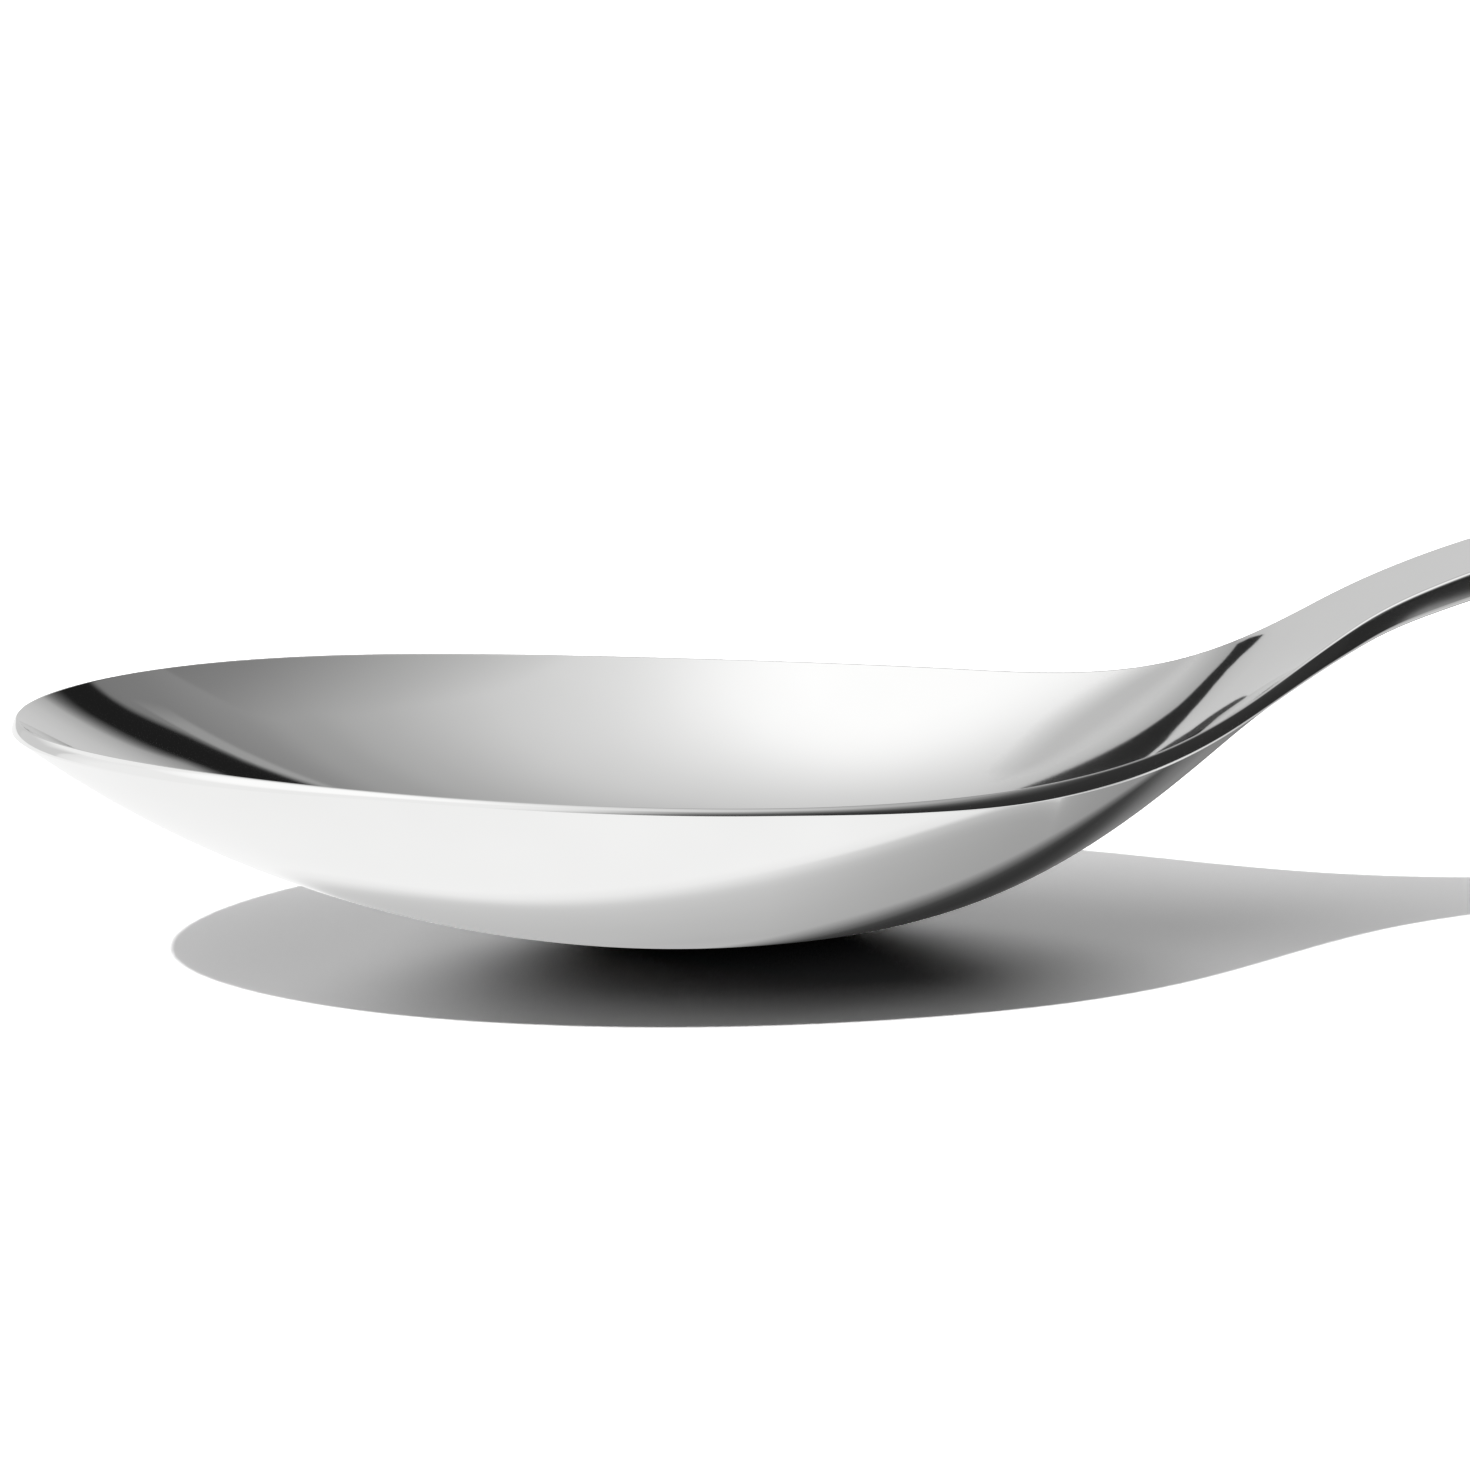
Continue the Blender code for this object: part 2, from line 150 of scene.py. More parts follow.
# The photograph: its frame in pixels, and where its camera and its light stand
FRAME_PIXELS = 1471
FOCAL_PIXELS = 5374
CAMERA_AZIMUTH = math.radians(-10.77)
CAMERA_ELEVATION = math.radians(11.57)
CAMERA_DISTANCE = 0.450
CAMERA_TARGET = (0.05996 - MIDDLE, 0.0, 0.01651)
SENSOR = 36.0
KEY_TRAVEL = (0.663, 0.004, -1.0)
KEY_ANGLE = math.radians(1.6)

# Studio: lamps, and the tent that the steel mirrors, whose glowing tones are painted reflections. Tones run
# over 0 (behind) to 1 (straight ahead).
BOWL_PLACE = (0.055 - MIDDLE, 0.0, 0.010)
RIGHT, BACK = (1.0, 0.0, 0.0), (0.0, 1.0, 0.0)
NECK_PLACE = (0.0949 - MIDDLE, -0.0006, 0.0150)
KEY_LIGHT = 2.35
LAMP_DISTANCE = 1.5
SOFTBOXES = {
    "back_strip": ((-3.0, 81.0), (1.24, 0.21), 29.6),
    "right_softbox": ((36.0, 21.0), (1.2, 0.8), 1.8),
    "left_softbox": ((-61.0, 35.0), (1.4, 0.6), 7.0),
    "top_softbox": ((-22.0, 3.0), (2.2, 1.4), 3.4),
}
ROOM_LIGHT = 0.025
TABLE_COLOUR = (0.95, 0.95, 0.95)
TABLE_SEEN = (1.47, 1.47, 1.47), (1.63, 1.63, 1.63)
FLOOR_REACH = 6.0
TENT_RADIUS = 5.0
TENT_STRENGTH = 1.15
TENT_LAMP = (-30.0, -20.0)
TENT_LAMP_TONES = tuple(((1 + math.cos(math.radians(turn))) / 2, tone / TENT_STRENGTH) for turn, tone in (
    (100, 0.18), (84, 0.23), (76, 0.30), (72, 0.365), (68, 0.395), (64, 0.455), (60, 0.495), (56, 0.55),
    (52, 0.615), (48, 0.68), (44, 0.73), (40, 0.785), (36, 0.85), (32, 0.92), (28, 0.995), (24, 1.06),
    (20, 1.105), (15, 1.135)))
TENT_BACK_TONES = ((0.80, 0.0), (0.82, 0.17), (0.855, 0.33), (0.88, 0.43), (0.915, 0.52), (0.95, 0.56),
                   (1.0, 0.57))
TENT_RIGHT = (-0.635, 0.101, 0.766)
TENT_RIGHT_TONES = ((0.25, 0.026), (0.38, 0.031), (0.42, 0.042), (0.45, 0.055), (0.48, 0.074), (0.50, 0.091),
                    (0.53, 0.125), (0.55, 0.178), (0.58, 0.21), (0.60, 0.25), (0.625, 0.31), (0.65, 0.375),
                    (0.67, 0.425), (0.69, 0.49), (0.72, 0.60), (0.76, 0.82), (0.81, 1.0))
TENT_RIGHT_BACK_TONES = ((0.57, 0.0), (0.66, 1.0))
TENT_LEFT = (-1.0, -0.9, 0.0)
TENT_LEFT_TONES = ((0.63, 0.0), (0.69, 0.74), (0.80, 0.84))
TENT_LEFT_END = (-0.944, -0.049, 0.326)
TENT_LEFT_END_TONES = ((0.38, 0.07), (0.43, 0.085), (0.46, 0.12), (0.49, 0.175), (0.50, 0.23), (0.52, 0.34),
                       (0.54, 0.42), (0.56, 0.52), (0.58, 0.60), (0.60, 0.69), (0.62, 0.76), (0.68, 0.86))
TENT_CORNER = (-0.79, 0.62, 0.2)
TENT_CORNER_TONES = ((0.90, 0.0), (0.93, 0.45), (0.96, 0.60))
TENT_STREAK = (-0.107, -0.760, 0.641)
TENT_STREAK_TONES = ((0.497, 0.0), (0.503, 0.36), (0.525, 0.34), (0.555, 0.0))
TENT_STREAK_END_TONES = ((0.70, 0.0), (0.73, 0.36), (0.80, 0.30), (0.86, 0.0))

# Cards glow only in the steel: painted dark and pale reflections, and ray lengths keep some of them to one
# stretch of the steel.
# Cards: tone, the place they are set up for, distance, and outline in degrees right and back of straight
# up. More figures say where an edge has faded out. A card shows to rays up to CARD_REACH of its distance, or
# with a length in m between those in CARD_RAYS: the heel and the tip's rim lie 30 mm apart along them.
CARD_REACH = 1.15
CARD_RAYS = {"heel_card": (2.99, 4.0), "tip_card": (0.0, 2.981)}
CARD_SIDE_STEPS = (0.0, 0.25, 0.5, 0.75)
CARD_RINGS = (0.02, 0.25, 0.5, 0.75, 1.0)
FADE_RINGS = (0.33, 0.67, 1.0)
CARDS = {
    "tip_flag": (0.0135, BOWL_PLACE, 3.0, (
        (29, 33.8, 31.5), (33, 33.8, 31.6), (35, 33.4, 31.3), (37, 33.2, 31), (39, 34.3, 31.5),
        (40, 34.8, 32), (41, 34.4, 32.2), (42, 33.6, 32), (43, 32.6, 30.9), (44, 31.6, 29.6),
        (45, 29, 26.8), (47, 27.5, 25.5), (50, 26.5, 24.5), (50, 40, 42), (44, 40.5, 42.2),
        (43, 40.5, 42.5), (42, 41.3, 43.5), (41, 42.7, 46.5), (40, 43.8, 49.5), (39, 45, 52),
        (38, 45.7, 53.5), (36, 45.2, 54), (35, 44.6, 53.5), (34, 43.5, 52), (33, 42.8, 47), (29, 42, 46))),
    "neck_flag": (0.025, NECK_PLACE, 0.06, (
        (5.6, 57.7), (1.7, 54), (-2.8, 50.8), (-7.8, 50.9), (-13.3, 50.6), (-18.9, 51), (-22.8, 49.9),
        (-26, 48.2), (-28.4, 46.9), (-28.8, 47.2), (-23.1, 55.8), (-18.6, 61.6), (-13.7, 66.6),
        (-12.9, 64.6), (-13.8, 61.8), (-13.6, 59.1), (-11.5, 56.7), (-8.5, 55.8), (-4.1, 56.1), (0.2, 57))),
    "neck_edge_flag": (0.06, NECK_PLACE, 0.06, (
        (11, 77.3), (7, 75.4), (4.4, 74.4), (0.2, 73), (-2.9, 71.8), (-6.2, 70.8), (-9.4, 68.8),
        (-11.5, 67.8), (-12.3, 68.9), (-6.6, 73.3), (-2.5, 76.3), (2.9, 78.2), (8.1, 79.3), (11.5, 79.8))),
    "heel_card": (0.57, BOWL_PLACE, 3.0, (
        (-44, 12, -52, 6), (-40, 15, -40, 8), (-36, 17.5, -36, 10), (-32, 20.5, -32, 13),
        (-28, 24.5, -28, 17), (-25, 27.5, -23, 22), (-24.5, 28, -20.5, 29), (-25, 28.5, -23.5, 33),
        (-28, 27.5, -28, 33.5), (-32, 25, -32, 32.5), (-36, 23, -36, 32), (-44, 20, -52, 24))),
    "tip_card": (0.97, BOWL_PLACE, 3.0, (
        (-27, 14, -22, 8), (-36, 8, -34, 2), (-46, 8, -46, 0), (-54, 14, -60, 10), (-54, 24, -62, 24),
        (-50, 36, -60, 46), (-38, 46, -40, 60), (-28, 42, -22, 54), (-24, 28, -17, 28))),
}

# Painted shade on the table under the bowl, seen only in the steel: tones run from its middle out, its edge
# at 0.5
SHADE = (-0.0875, -0.0063), (0.0748, 0.0407), math.radians(-14.0)
STEM_SHADE = (-0.030, 0.0), (0.085, 0.042), 0.0
SHADE_TONES = ((0.20, 0.50), (0.26, 0.53), (0.34, 0.56), (0.42, 0.605), (0.46, 0.645), (0.48, 0.70),
               (0.50, 0.82), (0.52, 0.93), (0.55, 1.0))
SHADE_EDGE = ((0.47, 0.0), (0.52, 1.0))
SHADE_FROM, SHADE_TO = -0.100, -0.055
SHADE_DEEPER = ((0.0, 1.0), (0.30, 0.96), (0.55, 0.81), (0.78, 0.72), (1.0, 0.63))
# Painted shadow where the bowl rests, darkest in its oval and lighter towards the back
CONTACT_SHADE = (-0.0478, 0.030), (0.1091, 0.0591), math.radians(46.4)
CONTACT_SHADE_TONES = ((0.42, 0.034), (0.46, 0.04), (0.48, 0.06), (0.50, 0.17), (0.52, 0.35), (0.54, 0.55),
                 (0.56, 1.0))
CONTACT_SHADE_NEAR, CONTACT_SHADE_FAR = -0.008, 0.016
CONTACT_SHADE_FADE = ((0.0, 0.034), (0.125, 0.045), (0.25, 0.06), (0.375, 0.095), (0.50, 0.145), (0.625, 0.185),
                (1.0, 0.25))
# Painted dark reflection: right of the middle, the table as the steel sees it darkens towards the front
DARK_FRONT_RIGHT_FROM, DARK_FRONT_RIGHT_TO = -0.010, 0.010
DARK_FRONT_FROM, DARK_FRONT_TO = -0.160, 0.0
DARK_FRONT_TONES = ((0.02, 0.025), (0.07, 0.06), (0.10, 0.16), (0.13, 0.23), (0.34, 0.53), (0.70, 0.60),
                     (1.0, 1.0))


class Rail:
    """A smooth curve through a few points, with a set slope at each end."""

    def __init__(self, at, value, first_slope, last_slope):
        self.at, self.value = np.array(at), np.array(value)
        step = np.diff(self.at)
        rise = np.diff(self.value) / step
        count = len(at)
        matrix = np.eye(count)
        right = np.zeros(count)
        right[0], right[-1] = first_slope, last_slope
        for i in range(1, count - 1):
            before, after = 1 / step[i - 1], 1 / step[i]
            matrix[i, i - 1:i + 2] = before, 2 * (before + after), after
            right[i] = 3 * (rise[i - 1] * before + rise[i] * after)
        self.slopes = np.linalg.solve(matrix, right)

    def _piece(self, x):
        i = np.clip(np.searchsorted(self.at, x) - 1, 0, len(self.at) - 2)
        step = self.at[i + 1] - self.at[i]
        return i, step, (x - self.at[i]) / step

    def height(self, x):
        i, step, s = self._piece(x)
        start = (1 + 2 * s) * (1 - s) ** 2 * self.value[i] + s * (1 - s) ** 2 * step * self.slopes[i]
        end = s * s * (3 - 2 * s) * self.value[i + 1] + s * s * (s - 1) * step * self.slopes[i + 1]
        return start + end

    def slope(self, x):
        i, step, s = self._piece(x)
        rise = 6 * s * (1 - s) * (self.value[i + 1] - self.value[i]) / step
        return rise + (1 - s) * (1 - 3 * s) * self.slopes[i] + s * (3 * s - 2) * self.slopes[i + 1]


# Sections of stem and handle

def stem_half_width(x):
    start = BOWL_LENGTH + NECK_RUN
    return (STEM_WIDTH + (TANG_WIDTH - STEM_WIDTH) * (x - start) / (TANG_END - start)) / 2


SLOT_HALF_WIDTH = stem_half_width(MOUTH - COLLAR_LENGTH) + FIT_GAP
SLOT_HALF_HEIGHT = STEM_THICKNESS / 2 + FIT_GAP
SPIGOT_HALF_WIDTH = SLOT_HALF_WIDTH + SPIGOT_SIDE_WALL
SPIGOT_HALF_HEIGHT = SLOT_HALF_HEIGHT + SPIGOT_ROOF_WALL
MOUTH_HALF_WIDTH = SPIGOT_HALF_WIDTH + FIT_GAP + SHELL_WALL
MOUTH_HALF_HEIGHT = SPIGOT_HALF_HEIGHT + FIT_GAP + SHELL_WALL

PLAN = Rail((MOUTH, TAIL_START), (MOUTH_HALF_WIDTH, HANDLE_WIDTH / 2), 0.0, 0.0)
DEPTH = Rail(
    (MOUTH, MOUTH + BELLY_FROM_MOUTH, TAIL_START),
    (MOUTH_HALF_HEIGHT, HANDLE_HEIGHT / 2, TAIL_THICKNESS / 2), 0.0, 0.0)


def handle_half_sizes(x):
    """Half width and half height of the handle's outside, rounded off at the tail."""
    tail = np.clip((x - TAIL_START) / TAIL_ROUND, 0.0, 1.0)
    inside = np.minimum(x, TAIL_START)
    return PLAN.height(inside) * np.sqrt(1 - tail ** 2), DEPTH.height(inside) * np.sqrt(1 - tail ** 4)


HANG_TUBE_HALF = handle_half_sizes(HANG_AT)[1] + SEAM_GAP / 2 + HANG_TUBE_PROUD


# Spine: the middle of the wall along the centre line, from the tip through stem and handle

def make_spine(tail_height):
    at = (0.0, FORE_AT * BOWL_LENGTH, REST_AT * BOWL_LENGTH, HEEL_AT * BOWL_LENGTH, BOWL_LENGTH,
          BOWL_LENGTH + NECK_RISE_RUN, BOWL_LENGTH + STEM_RISE_RUN, MOUTH, TAIL_END)
    height = (TIP_HEIGHT, FORE_HEIGHT, BOWL_WALL / 2, HEEL_HEIGHT, NECK_HEIGHT,
              NECK_RISE_HEIGHT, STEM_RISE_HEIGHT, CROWN_HEIGHT, tail_height)
    rail = Rail(at, height, -math.tan(TIP_RAKE), math.tan(TAIL_SLOPE))
    lowest = rail.height(np.linspace(0.0, BOWL_LENGTH, 400)).min()
    rail.value = rail.value - (lowest - BOWL_WALL / 2)
    return rail


def lowest_of_handle(spine):
    """Height of the lowest point of the lower shell or of the hanging tube's lower edge."""
    x = np.linspace(MOUTH, TAIL_END, 600)
    half_height = handle_half_sizes(x)[1] + SEAM_GAP / 2
    shell = (spine.height(x) - half_height * np.cos(np.arctan(spine.slope(x)))).min()
    lean = math.atan(spine.slope(HANG_AT))
    edge_radius = HANG_BORE / 2 + HANG_TUBE_WALL
    tube = spine.height(HANG_AT) - HANG_TUBE_HALF * math.cos(lean) - edge_radius * abs(math.sin(lean))
    return min(shell, tube)


def find_spine():
    """The spine whose handle just touches the table at its tail."""
    tail_height = TAIL_THICKNESS / 2
    for _ in range(6):
        tail_height -= lowest_of_handle(make_spine(tail_height))
    return make_spine(tail_height)


SPINE = find_spine()
DISH_END = BOWL_LENGTH + DISH_RUN
RIM = Rail(
    (0.0, RIM_MIDDLE_AT * BOWL_LENGTH, RIM_HEEL_AT * BOWL_LENGTH, BOWL_LENGTH, DISH_END),
    (SPINE.height(0.0), RIM_MIDDLE_HEIGHT, RIM_HEEL_HEIGHT, RIM_NECK_HEIGHT, SPINE.height(DISH_END)),
    0.0, SPINE.slope(DISH_END))


# Plan outline of the head

def bowl_half_width(x):
    turn = math.pi * x / BOWL_LENGTH
    square = (np.sin(turn) + OUTLINE_FULLNESS * np.sin(3 * turn)) / (1 - OUTLINE_FULLNESS)
    return BOWL_WIDTH / 2 * np.sqrt(np.maximum(square, 0.0))


def neck_curve():
    """Quintic from the bowl's outline to the stem's side, matching slope and bend at both ends."""
    start, end = NECK_AT * BOWL_LENGTH, BOWL_LENGTH + NECK_RUN
    run, d = end - start, BOWL_LENGTH * 1e-4
    before, here, after = (bowl_half_width(start + k * d) for k in (-1, 0, 1))
    taper = (TANG_WIDTH - STEM_WIDTH) / 2 / (TANG_END - end)
    wanted = (here, (after - before) / (2 * d) * run, (after - 2 * here + before) / d ** 2 * run ** 2,
              STEM_WIDTH / 2, taper * run, 0.0)
    powers = np.arange(6)
    rows = []
    for s in (0.0, 1.0):
        rows.append(s ** powers)
        rows.append(powers * s ** np.maximum(powers - 1, 0))
        rows.append(powers * (powers - 1) * s ** np.maximum(powers - 2, 0))
    return start, run, np.linalg.solve(np.array(rows), np.array(wanted))


NECK_FROM, NECK_LENGTH, NECK_SHAPE = neck_curve()


def half_width(x):
    neck = np.polyval(NECK_SHAPE[::-1], (x - NECK_FROM) / NECK_LENGTH)
    beyond_bowl = np.where(x < NECK_FROM + NECK_LENGTH, neck, stem_half_width(x))
    return np.where(x < NECK_FROM, bowl_half_width(np.minimum(x, NECK_FROM)), beyond_bowl)


def half_width_slope(x):
    near = 1e-4 * x
    return (half_width(x + near) - half_width(x - near)) / (2 * near)


def dish(x):
    """How far the rim stands above the spine."""
    inside = np.minimum(x, DISH_END)
    return np.where(x < DISH_END, RIM.height(inside) - SPINE.height(inside), 0.0)


def dish_slope(x):
    inside = np.minimum(x, DISH_END)
    return np.where(x < DISH_END, RIM.slope(inside) - SPINE.slope(inside), 0.0)


def wall_height(x, y):
    across = y / half_width(x)
    full = SECTION_FULLNESS * np.sin(math.pi * np.minimum(x / BOWL_LENGTH, 1.0))
    return SPINE.height(x) + dish(x) * ((1 - full) * across ** 2 + full * across ** 4)


def eased(value, start, end):
    """0 at the start, 1 at the end, and smooth between them."""
    share = np.clip((value - start) / (end - start), 0.0, 1.0)
    return share * share * (3 - 2 * share)


def wall_thickness(x):
    return BOWL_WALL + (STEM_THICKNESS - BOWL_WALL) * eased(x, BOWL_LENGTH, BOWL_LENGTH + WALL_RUN)


def rim_thinning(x):
    """Share of the wall's thickness that the rim lacks, most along the bowl's sides."""
    return RIM_THINNING * eased(x, *THIN_FROM) * eased(x, *THIN_TO)


def rim_profile(x, rise):
    """The rim's face at places along the spoon, where the wall rises at a slope: how far below the upper
    face and how far inside the outline its points lie, and where both faces of the wall end. A small corner,
    then a bulged face that turns until it nearly stands upright, then a crisp lower edge. Towards the neck
    the face is tilted outwards from the start."""
    wall, climb = (wall_thickness(x) * (1 - rim_thinning(x)))[:, None], np.arctan(rise)[:, None]
    stem, tilted = (np.clip((x[:, None] - start) / (end - start), 0.0, 1.0) for start, end in (
        (BOWL_LENGTH, BOWL_LENGTH + WALL_RUN), (RIM_TILT_FROM, RIM_TILT_TO)))
    upper = RIM_CORNER + (EDGE_ROUND - RIM_CORNER) * stem
    lower = RIM_LOWER_EDGE + (EDGE_ROUND - RIM_LOWER_EDGE) * stem
    last = np.maximum(climb - RIM_FOOT, math.radians(1.0))
    first = np.minimum(np.maximum(climb - RIM_HEAD, 0.0) * tilted, last - math.radians(2.0))
    corner, face, under = (start + (end - start) * share[None, :] for start, end, share in (
        (-math.pi / 2, first, np.linspace(0.0, 1.0, CORNER_STEPS + 1)[1:-1]),
        (first, last, np.linspace(0.0, 1.0, RIM_FACE_STEPS + 1)),
        (last, math.pi / 2, np.linspace(0.0, 1.0, CORNER_STEPS + 1)[1:-1])))
    radius = wall - upper * (1 + np.sin(first)) - lower * (1 - np.sin(last))
    radius = radius / (np.sin(last) - np.sin(first))
    reach = upper * (1 - np.cos(first)) + radius * (np.cos(first) - np.cos(last)) + lower * np.cos(last)
    down = (upper * (1 + np.sin(corner)),
            upper * (1 + np.sin(first)) + radius * (np.sin(face) - np.sin(first)),
            wall - lower * (1 - np.sin(under)))
    inside = (upper * (1 - np.cos(corner)),
              upper * (1 - np.cos(first)) + radius * (np.cos(first) - np.cos(face)),
              reach - lower * np.cos(under))
    return np.concatenate(down, 1), np.concatenate(inside, 1), upper[:, 0], reach[:, 0]


# Meshes

def ring_mesh(name, rings, cap_first=False, cap_last=False, lengths=None):
    """A mesh of rings of points, an array of rows by points by 3; lengths gives each point's place
    along and round the piece, for a UV map in metres."""
    rows, points = rings.shape[:2]
    mesh = bpy.data.meshes.new(name)
    corner = np.arange(rows * points).reshape(rows, points)
    near, far = corner[:-1], corner[1:]
    faces = np.stack((near, np.roll(near, -1, 1), np.roll(far, -1, 1), far), 2).reshape(-1, 4).tolist()
    if cap_first:
        faces.append(corner[0].tolist())
    if cap_last:
        faces.append(corner[-1].tolist())
    mesh.from_pydata(rings.reshape(-1, 3).tolist(), [], faces)
    if lengths is not None:
        layer = mesh.uv_layers.new(name="brushed")
        vertices = np.empty(len(mesh.loops), int)
        mesh.loops.foreach_get("vertex_index", vertices)
        layer.data.foreach_set("uv", lengths.reshape(-1, 2)[vertices].astype(np.float32).ravel())
    return mesh


def close_mesh(mesh, merge=2e-7):
    """Merges what meets at poles and seams, and turns the faces outwards."""
    work = bmesh.new()
    work.from_mesh(mesh)
    bmesh.ops.remove_doubles(work, verts=work.verts, dist=merge)
    bmesh.ops.recalc_face_normals(work, faces=work.faces)
    if work.calc_volume(signed=True) < 0:
        bmesh.ops.reverse_faces(work, faces=work.faces)
    work.to_mesh(mesh)
    work.free()


def new_object(name, data):
    item = bpy.data.objects.new(name, data)
    bpy.context.scene.collection.objects.link(item)
    return item


def settle(item):
    """Applies the modifiers, so that the object is left with a plain mesh."""
    graph = bpy.context.evaluated_depsgraph_get()
    mesh = bpy.data.meshes.new_from_object(item.evaluated_get(graph))
    mesh.name = item.name
    item.modifiers.clear()
    item.data = mesh
    return item


def smooth(item, sharp_angle=None):
    item.data.shade_smooth()
    if sharp_angle:
        item.data.set_sharp_from_angle(angle=sharp_angle)


def finish_piece(item, node, material):
    item.data.materials.clear()
    item.data.materials.append(material)
    item.data.transform(TO_MIDDLE)
    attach(item, "root")
    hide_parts(node)


# Node trees

class Field:
    """A number that runs through a node tree, so that a formula is written as one."""

    def __init__(self, tree, socket):
        self.tree = tree
        self.socket = socket

    def math(self, operation, *others):
        node = self.tree.nodes.new("ShaderNodeMath")
        node.operation = operation
        for socket, value in zip(node.inputs, (self, *others)):
            put(self.tree, socket, value)
        return Field(self.tree, node.outputs[0])

    __add__ = partialmethod(math, "ADD")
    __sub__ = partialmethod(math, "SUBTRACT")
    __mul__ = __rmul__ = partialmethod(math, "MULTIPLY")
    __truediv__ = partialmethod(math, "DIVIDE")

    def __rsub__(self, other):
        return (self * -1.0) + other


def put(tree, socket, value):
    if isinstance(value, Field):
        tree.links.new(value.socket, socket)
    else:
        socket.default_value = value


def vector(tree, x, y, z):
    node = tree.nodes.new("ShaderNodeCombineXYZ")
    for socket, value in zip(node.inputs, (x, y, z)):
        put(tree, socket, value)
    return Field(tree, node.outputs[0])


def vector_math(tree, operation, first, second=None):
    node = tree.nodes.new("ShaderNodeVectorMath")
    node.operation = operation
    put(tree, node.inputs[0], first)
    if operation == "SCALE":
        put(tree, node.inputs["Scale"], second)
    elif second is not None:
        put(tree, node.inputs[1], second)
    return Field(tree, node.outputs["Value" if operation in ("DOT_PRODUCT", "LENGTH") else "Vector"])


def named(tree, name, kind="FLOAT"):
    node = tree.nodes.new("GeometryNodeInputNamedAttribute")
    node.data_type = kind
    node.inputs["Name"].default_value = name
    return Field(tree, node.outputs["Attribute"])


# The head: a flat blank that a node tree presses into bowl, neck, stem and tang

RAIL_ATTRIBUTES = ("spine", "spine_slope", "dish", "dish_slope", "half_width", "half_width_slope",
                   "wall_side", "rim_down", "rim_in")
PRESS_SIZES = {
    "Bowl Length": BOWL_LENGTH,
    "Section Fullness": SECTION_FULLNESS,
    "Bowl Wall": BOWL_WALL,
    "Stem Wall": STEM_THICKNESS,
    "Wall Run": WALL_RUN,
}


def press_tree():
    """Lifts each point of the blank to its height in the dish, and then out to the wall's face or edge."""
    tree = bpy.data.node_groups.new("press_blank", "GeometryNodeTree")
    socket, new, link = tree.interface.new_socket, tree.nodes.new, tree.links.new
    socket("Blank", in_out="INPUT", socket_type="NodeSocketGeometry")
    for name in PRESS_SIZES:
        socket(name, in_out="INPUT", socket_type="NodeSocketFloat")
    socket("Steel", in_out="INPUT", socket_type="NodeSocketMaterial")
    socket("Head", in_out="OUTPUT", socket_type="NodeSocketGeometry")
    given = new("NodeGroupInput").outputs
    length, fullness, bowl_wall, stem_wall, wall_run = (Field(tree, given[name]) for name in PRESS_SIZES)

    place = new("ShaderNodeSeparateXYZ")
    link(new("GeometryNodeInputPosition").outputs[0], place.inputs[0])
    x, y = Field(tree, place.outputs["X"]), Field(tree, place.outputs["Y"])
    wide, wide_slope = named(tree, "half_width"), named(tree, "half_width_slope")
    deep, deep_slope = named(tree, "dish"), named(tree, "dish_slope")

    across = y / wide
    square = across * across
    turn = (x / length).math("MINIMUM", 1.0) * math.pi
    full = fullness * turn.math("SINE")
    full_slope = fullness * turn.math("COSINE") * math.pi / length * x.math("LESS_THAN", length)
    share = (1.0 - full) * square + full * square * square
    share_slope = across * (2.0 * (1.0 - full) + 4.0 * full * square)
    height = named(tree, "spine") + deep * share

    along_rise = (named(tree, "spine_slope") + deep_slope * share
                  + deep * full_slope * (square * square - square)
                  - across * wide_slope / wide * deep * share_slope)
    across_rise = deep * share_slope / wide
    face_out = vector_math(tree, "NORMALIZE", vector(tree, along_rise * -1.0, across_rise * -1.0, 1.0))

    heading = new("ShaderNodeSeparateXYZ")
    put(tree, heading.inputs[0], named(tree, "edge_heading", "FLOAT_VECTOR"))
    out_x, out_y = Field(tree, heading.outputs["X"]), Field(tree, heading.outputs["Y"])
    rim_rise = along_rise * out_y - across_rise * out_x
    rim_line = vector_math(tree, "NORMALIZE", vector(tree, out_y, out_x * -1.0, rim_rise))
    edge_out = vector_math(tree, "CROSS_PRODUCT", face_out, rim_line)

    thicken = new("ShaderNodeMapRange")
    thicken.interpolation_type = "SMOOTHSTEP"
    put(tree, thicken.inputs["Value"], (x - length) / wall_run)
    put(tree, thicken.inputs["To Min"], bowl_wall)
    put(tree, thicken.inputs["To Max"], stem_wall)
    half_wall = Field(tree, thicken.outputs[0]) * 0.5
    face_step = named(tree, "wall_side") * half_wall - named(tree, "rim_down")
    edge_step = named(tree, "rim_in") * -1.0

    raised = vector_math(tree, "ADD", vector(tree, x, y, height),
                         vector_math(tree, "SCALE", face_out, face_step))
    moved = vector_math(tree, "ADD", raised, vector_math(tree, "SCALE", edge_out, edge_step))
    press = new("GeometryNodeSetPosition")
    merge = new("GeometryNodeMergeByDistance")
    merge.inputs["Distance"].default_value = 1e-6
    realize = new("GeometryNodeRealizeInstances")
    dress = new("GeometryNodeSetMaterial")
    out = new("NodeGroupOutput")
    put(tree, press.inputs["Position"], moved)
    link(given["Blank"], press.inputs["Geometry"])
    link(press.outputs[0], merge.inputs["Geometry"])
    link(merge.outputs[0], realize.inputs["Geometry"])
    link(realize.outputs[0], dress.inputs["Geometry"])
    link(given["Steel"], dress.inputs["Material"])
    link(dress.outputs[0], out.inputs["Head"])
    return tree


def blank_rows():
    """Places of the blank's rows along the spoon, closest at the round tip."""
    tip = TIP_RUN * (np.arange(TIP_ROWS) / TIP_ROWS) ** 2
    bowl = np.linspace(TIP_RUN, MOUTH, round((MOUTH - TIP_RUN) / BOWL_ROW_STEP) + 1)
    tang = np.linspace(MOUTH, TANG_END, round(TANG_LENGTH / TANG_ROW_STEP) + 1)[1:]
    return np.concatenate((tip, bowl, tang))


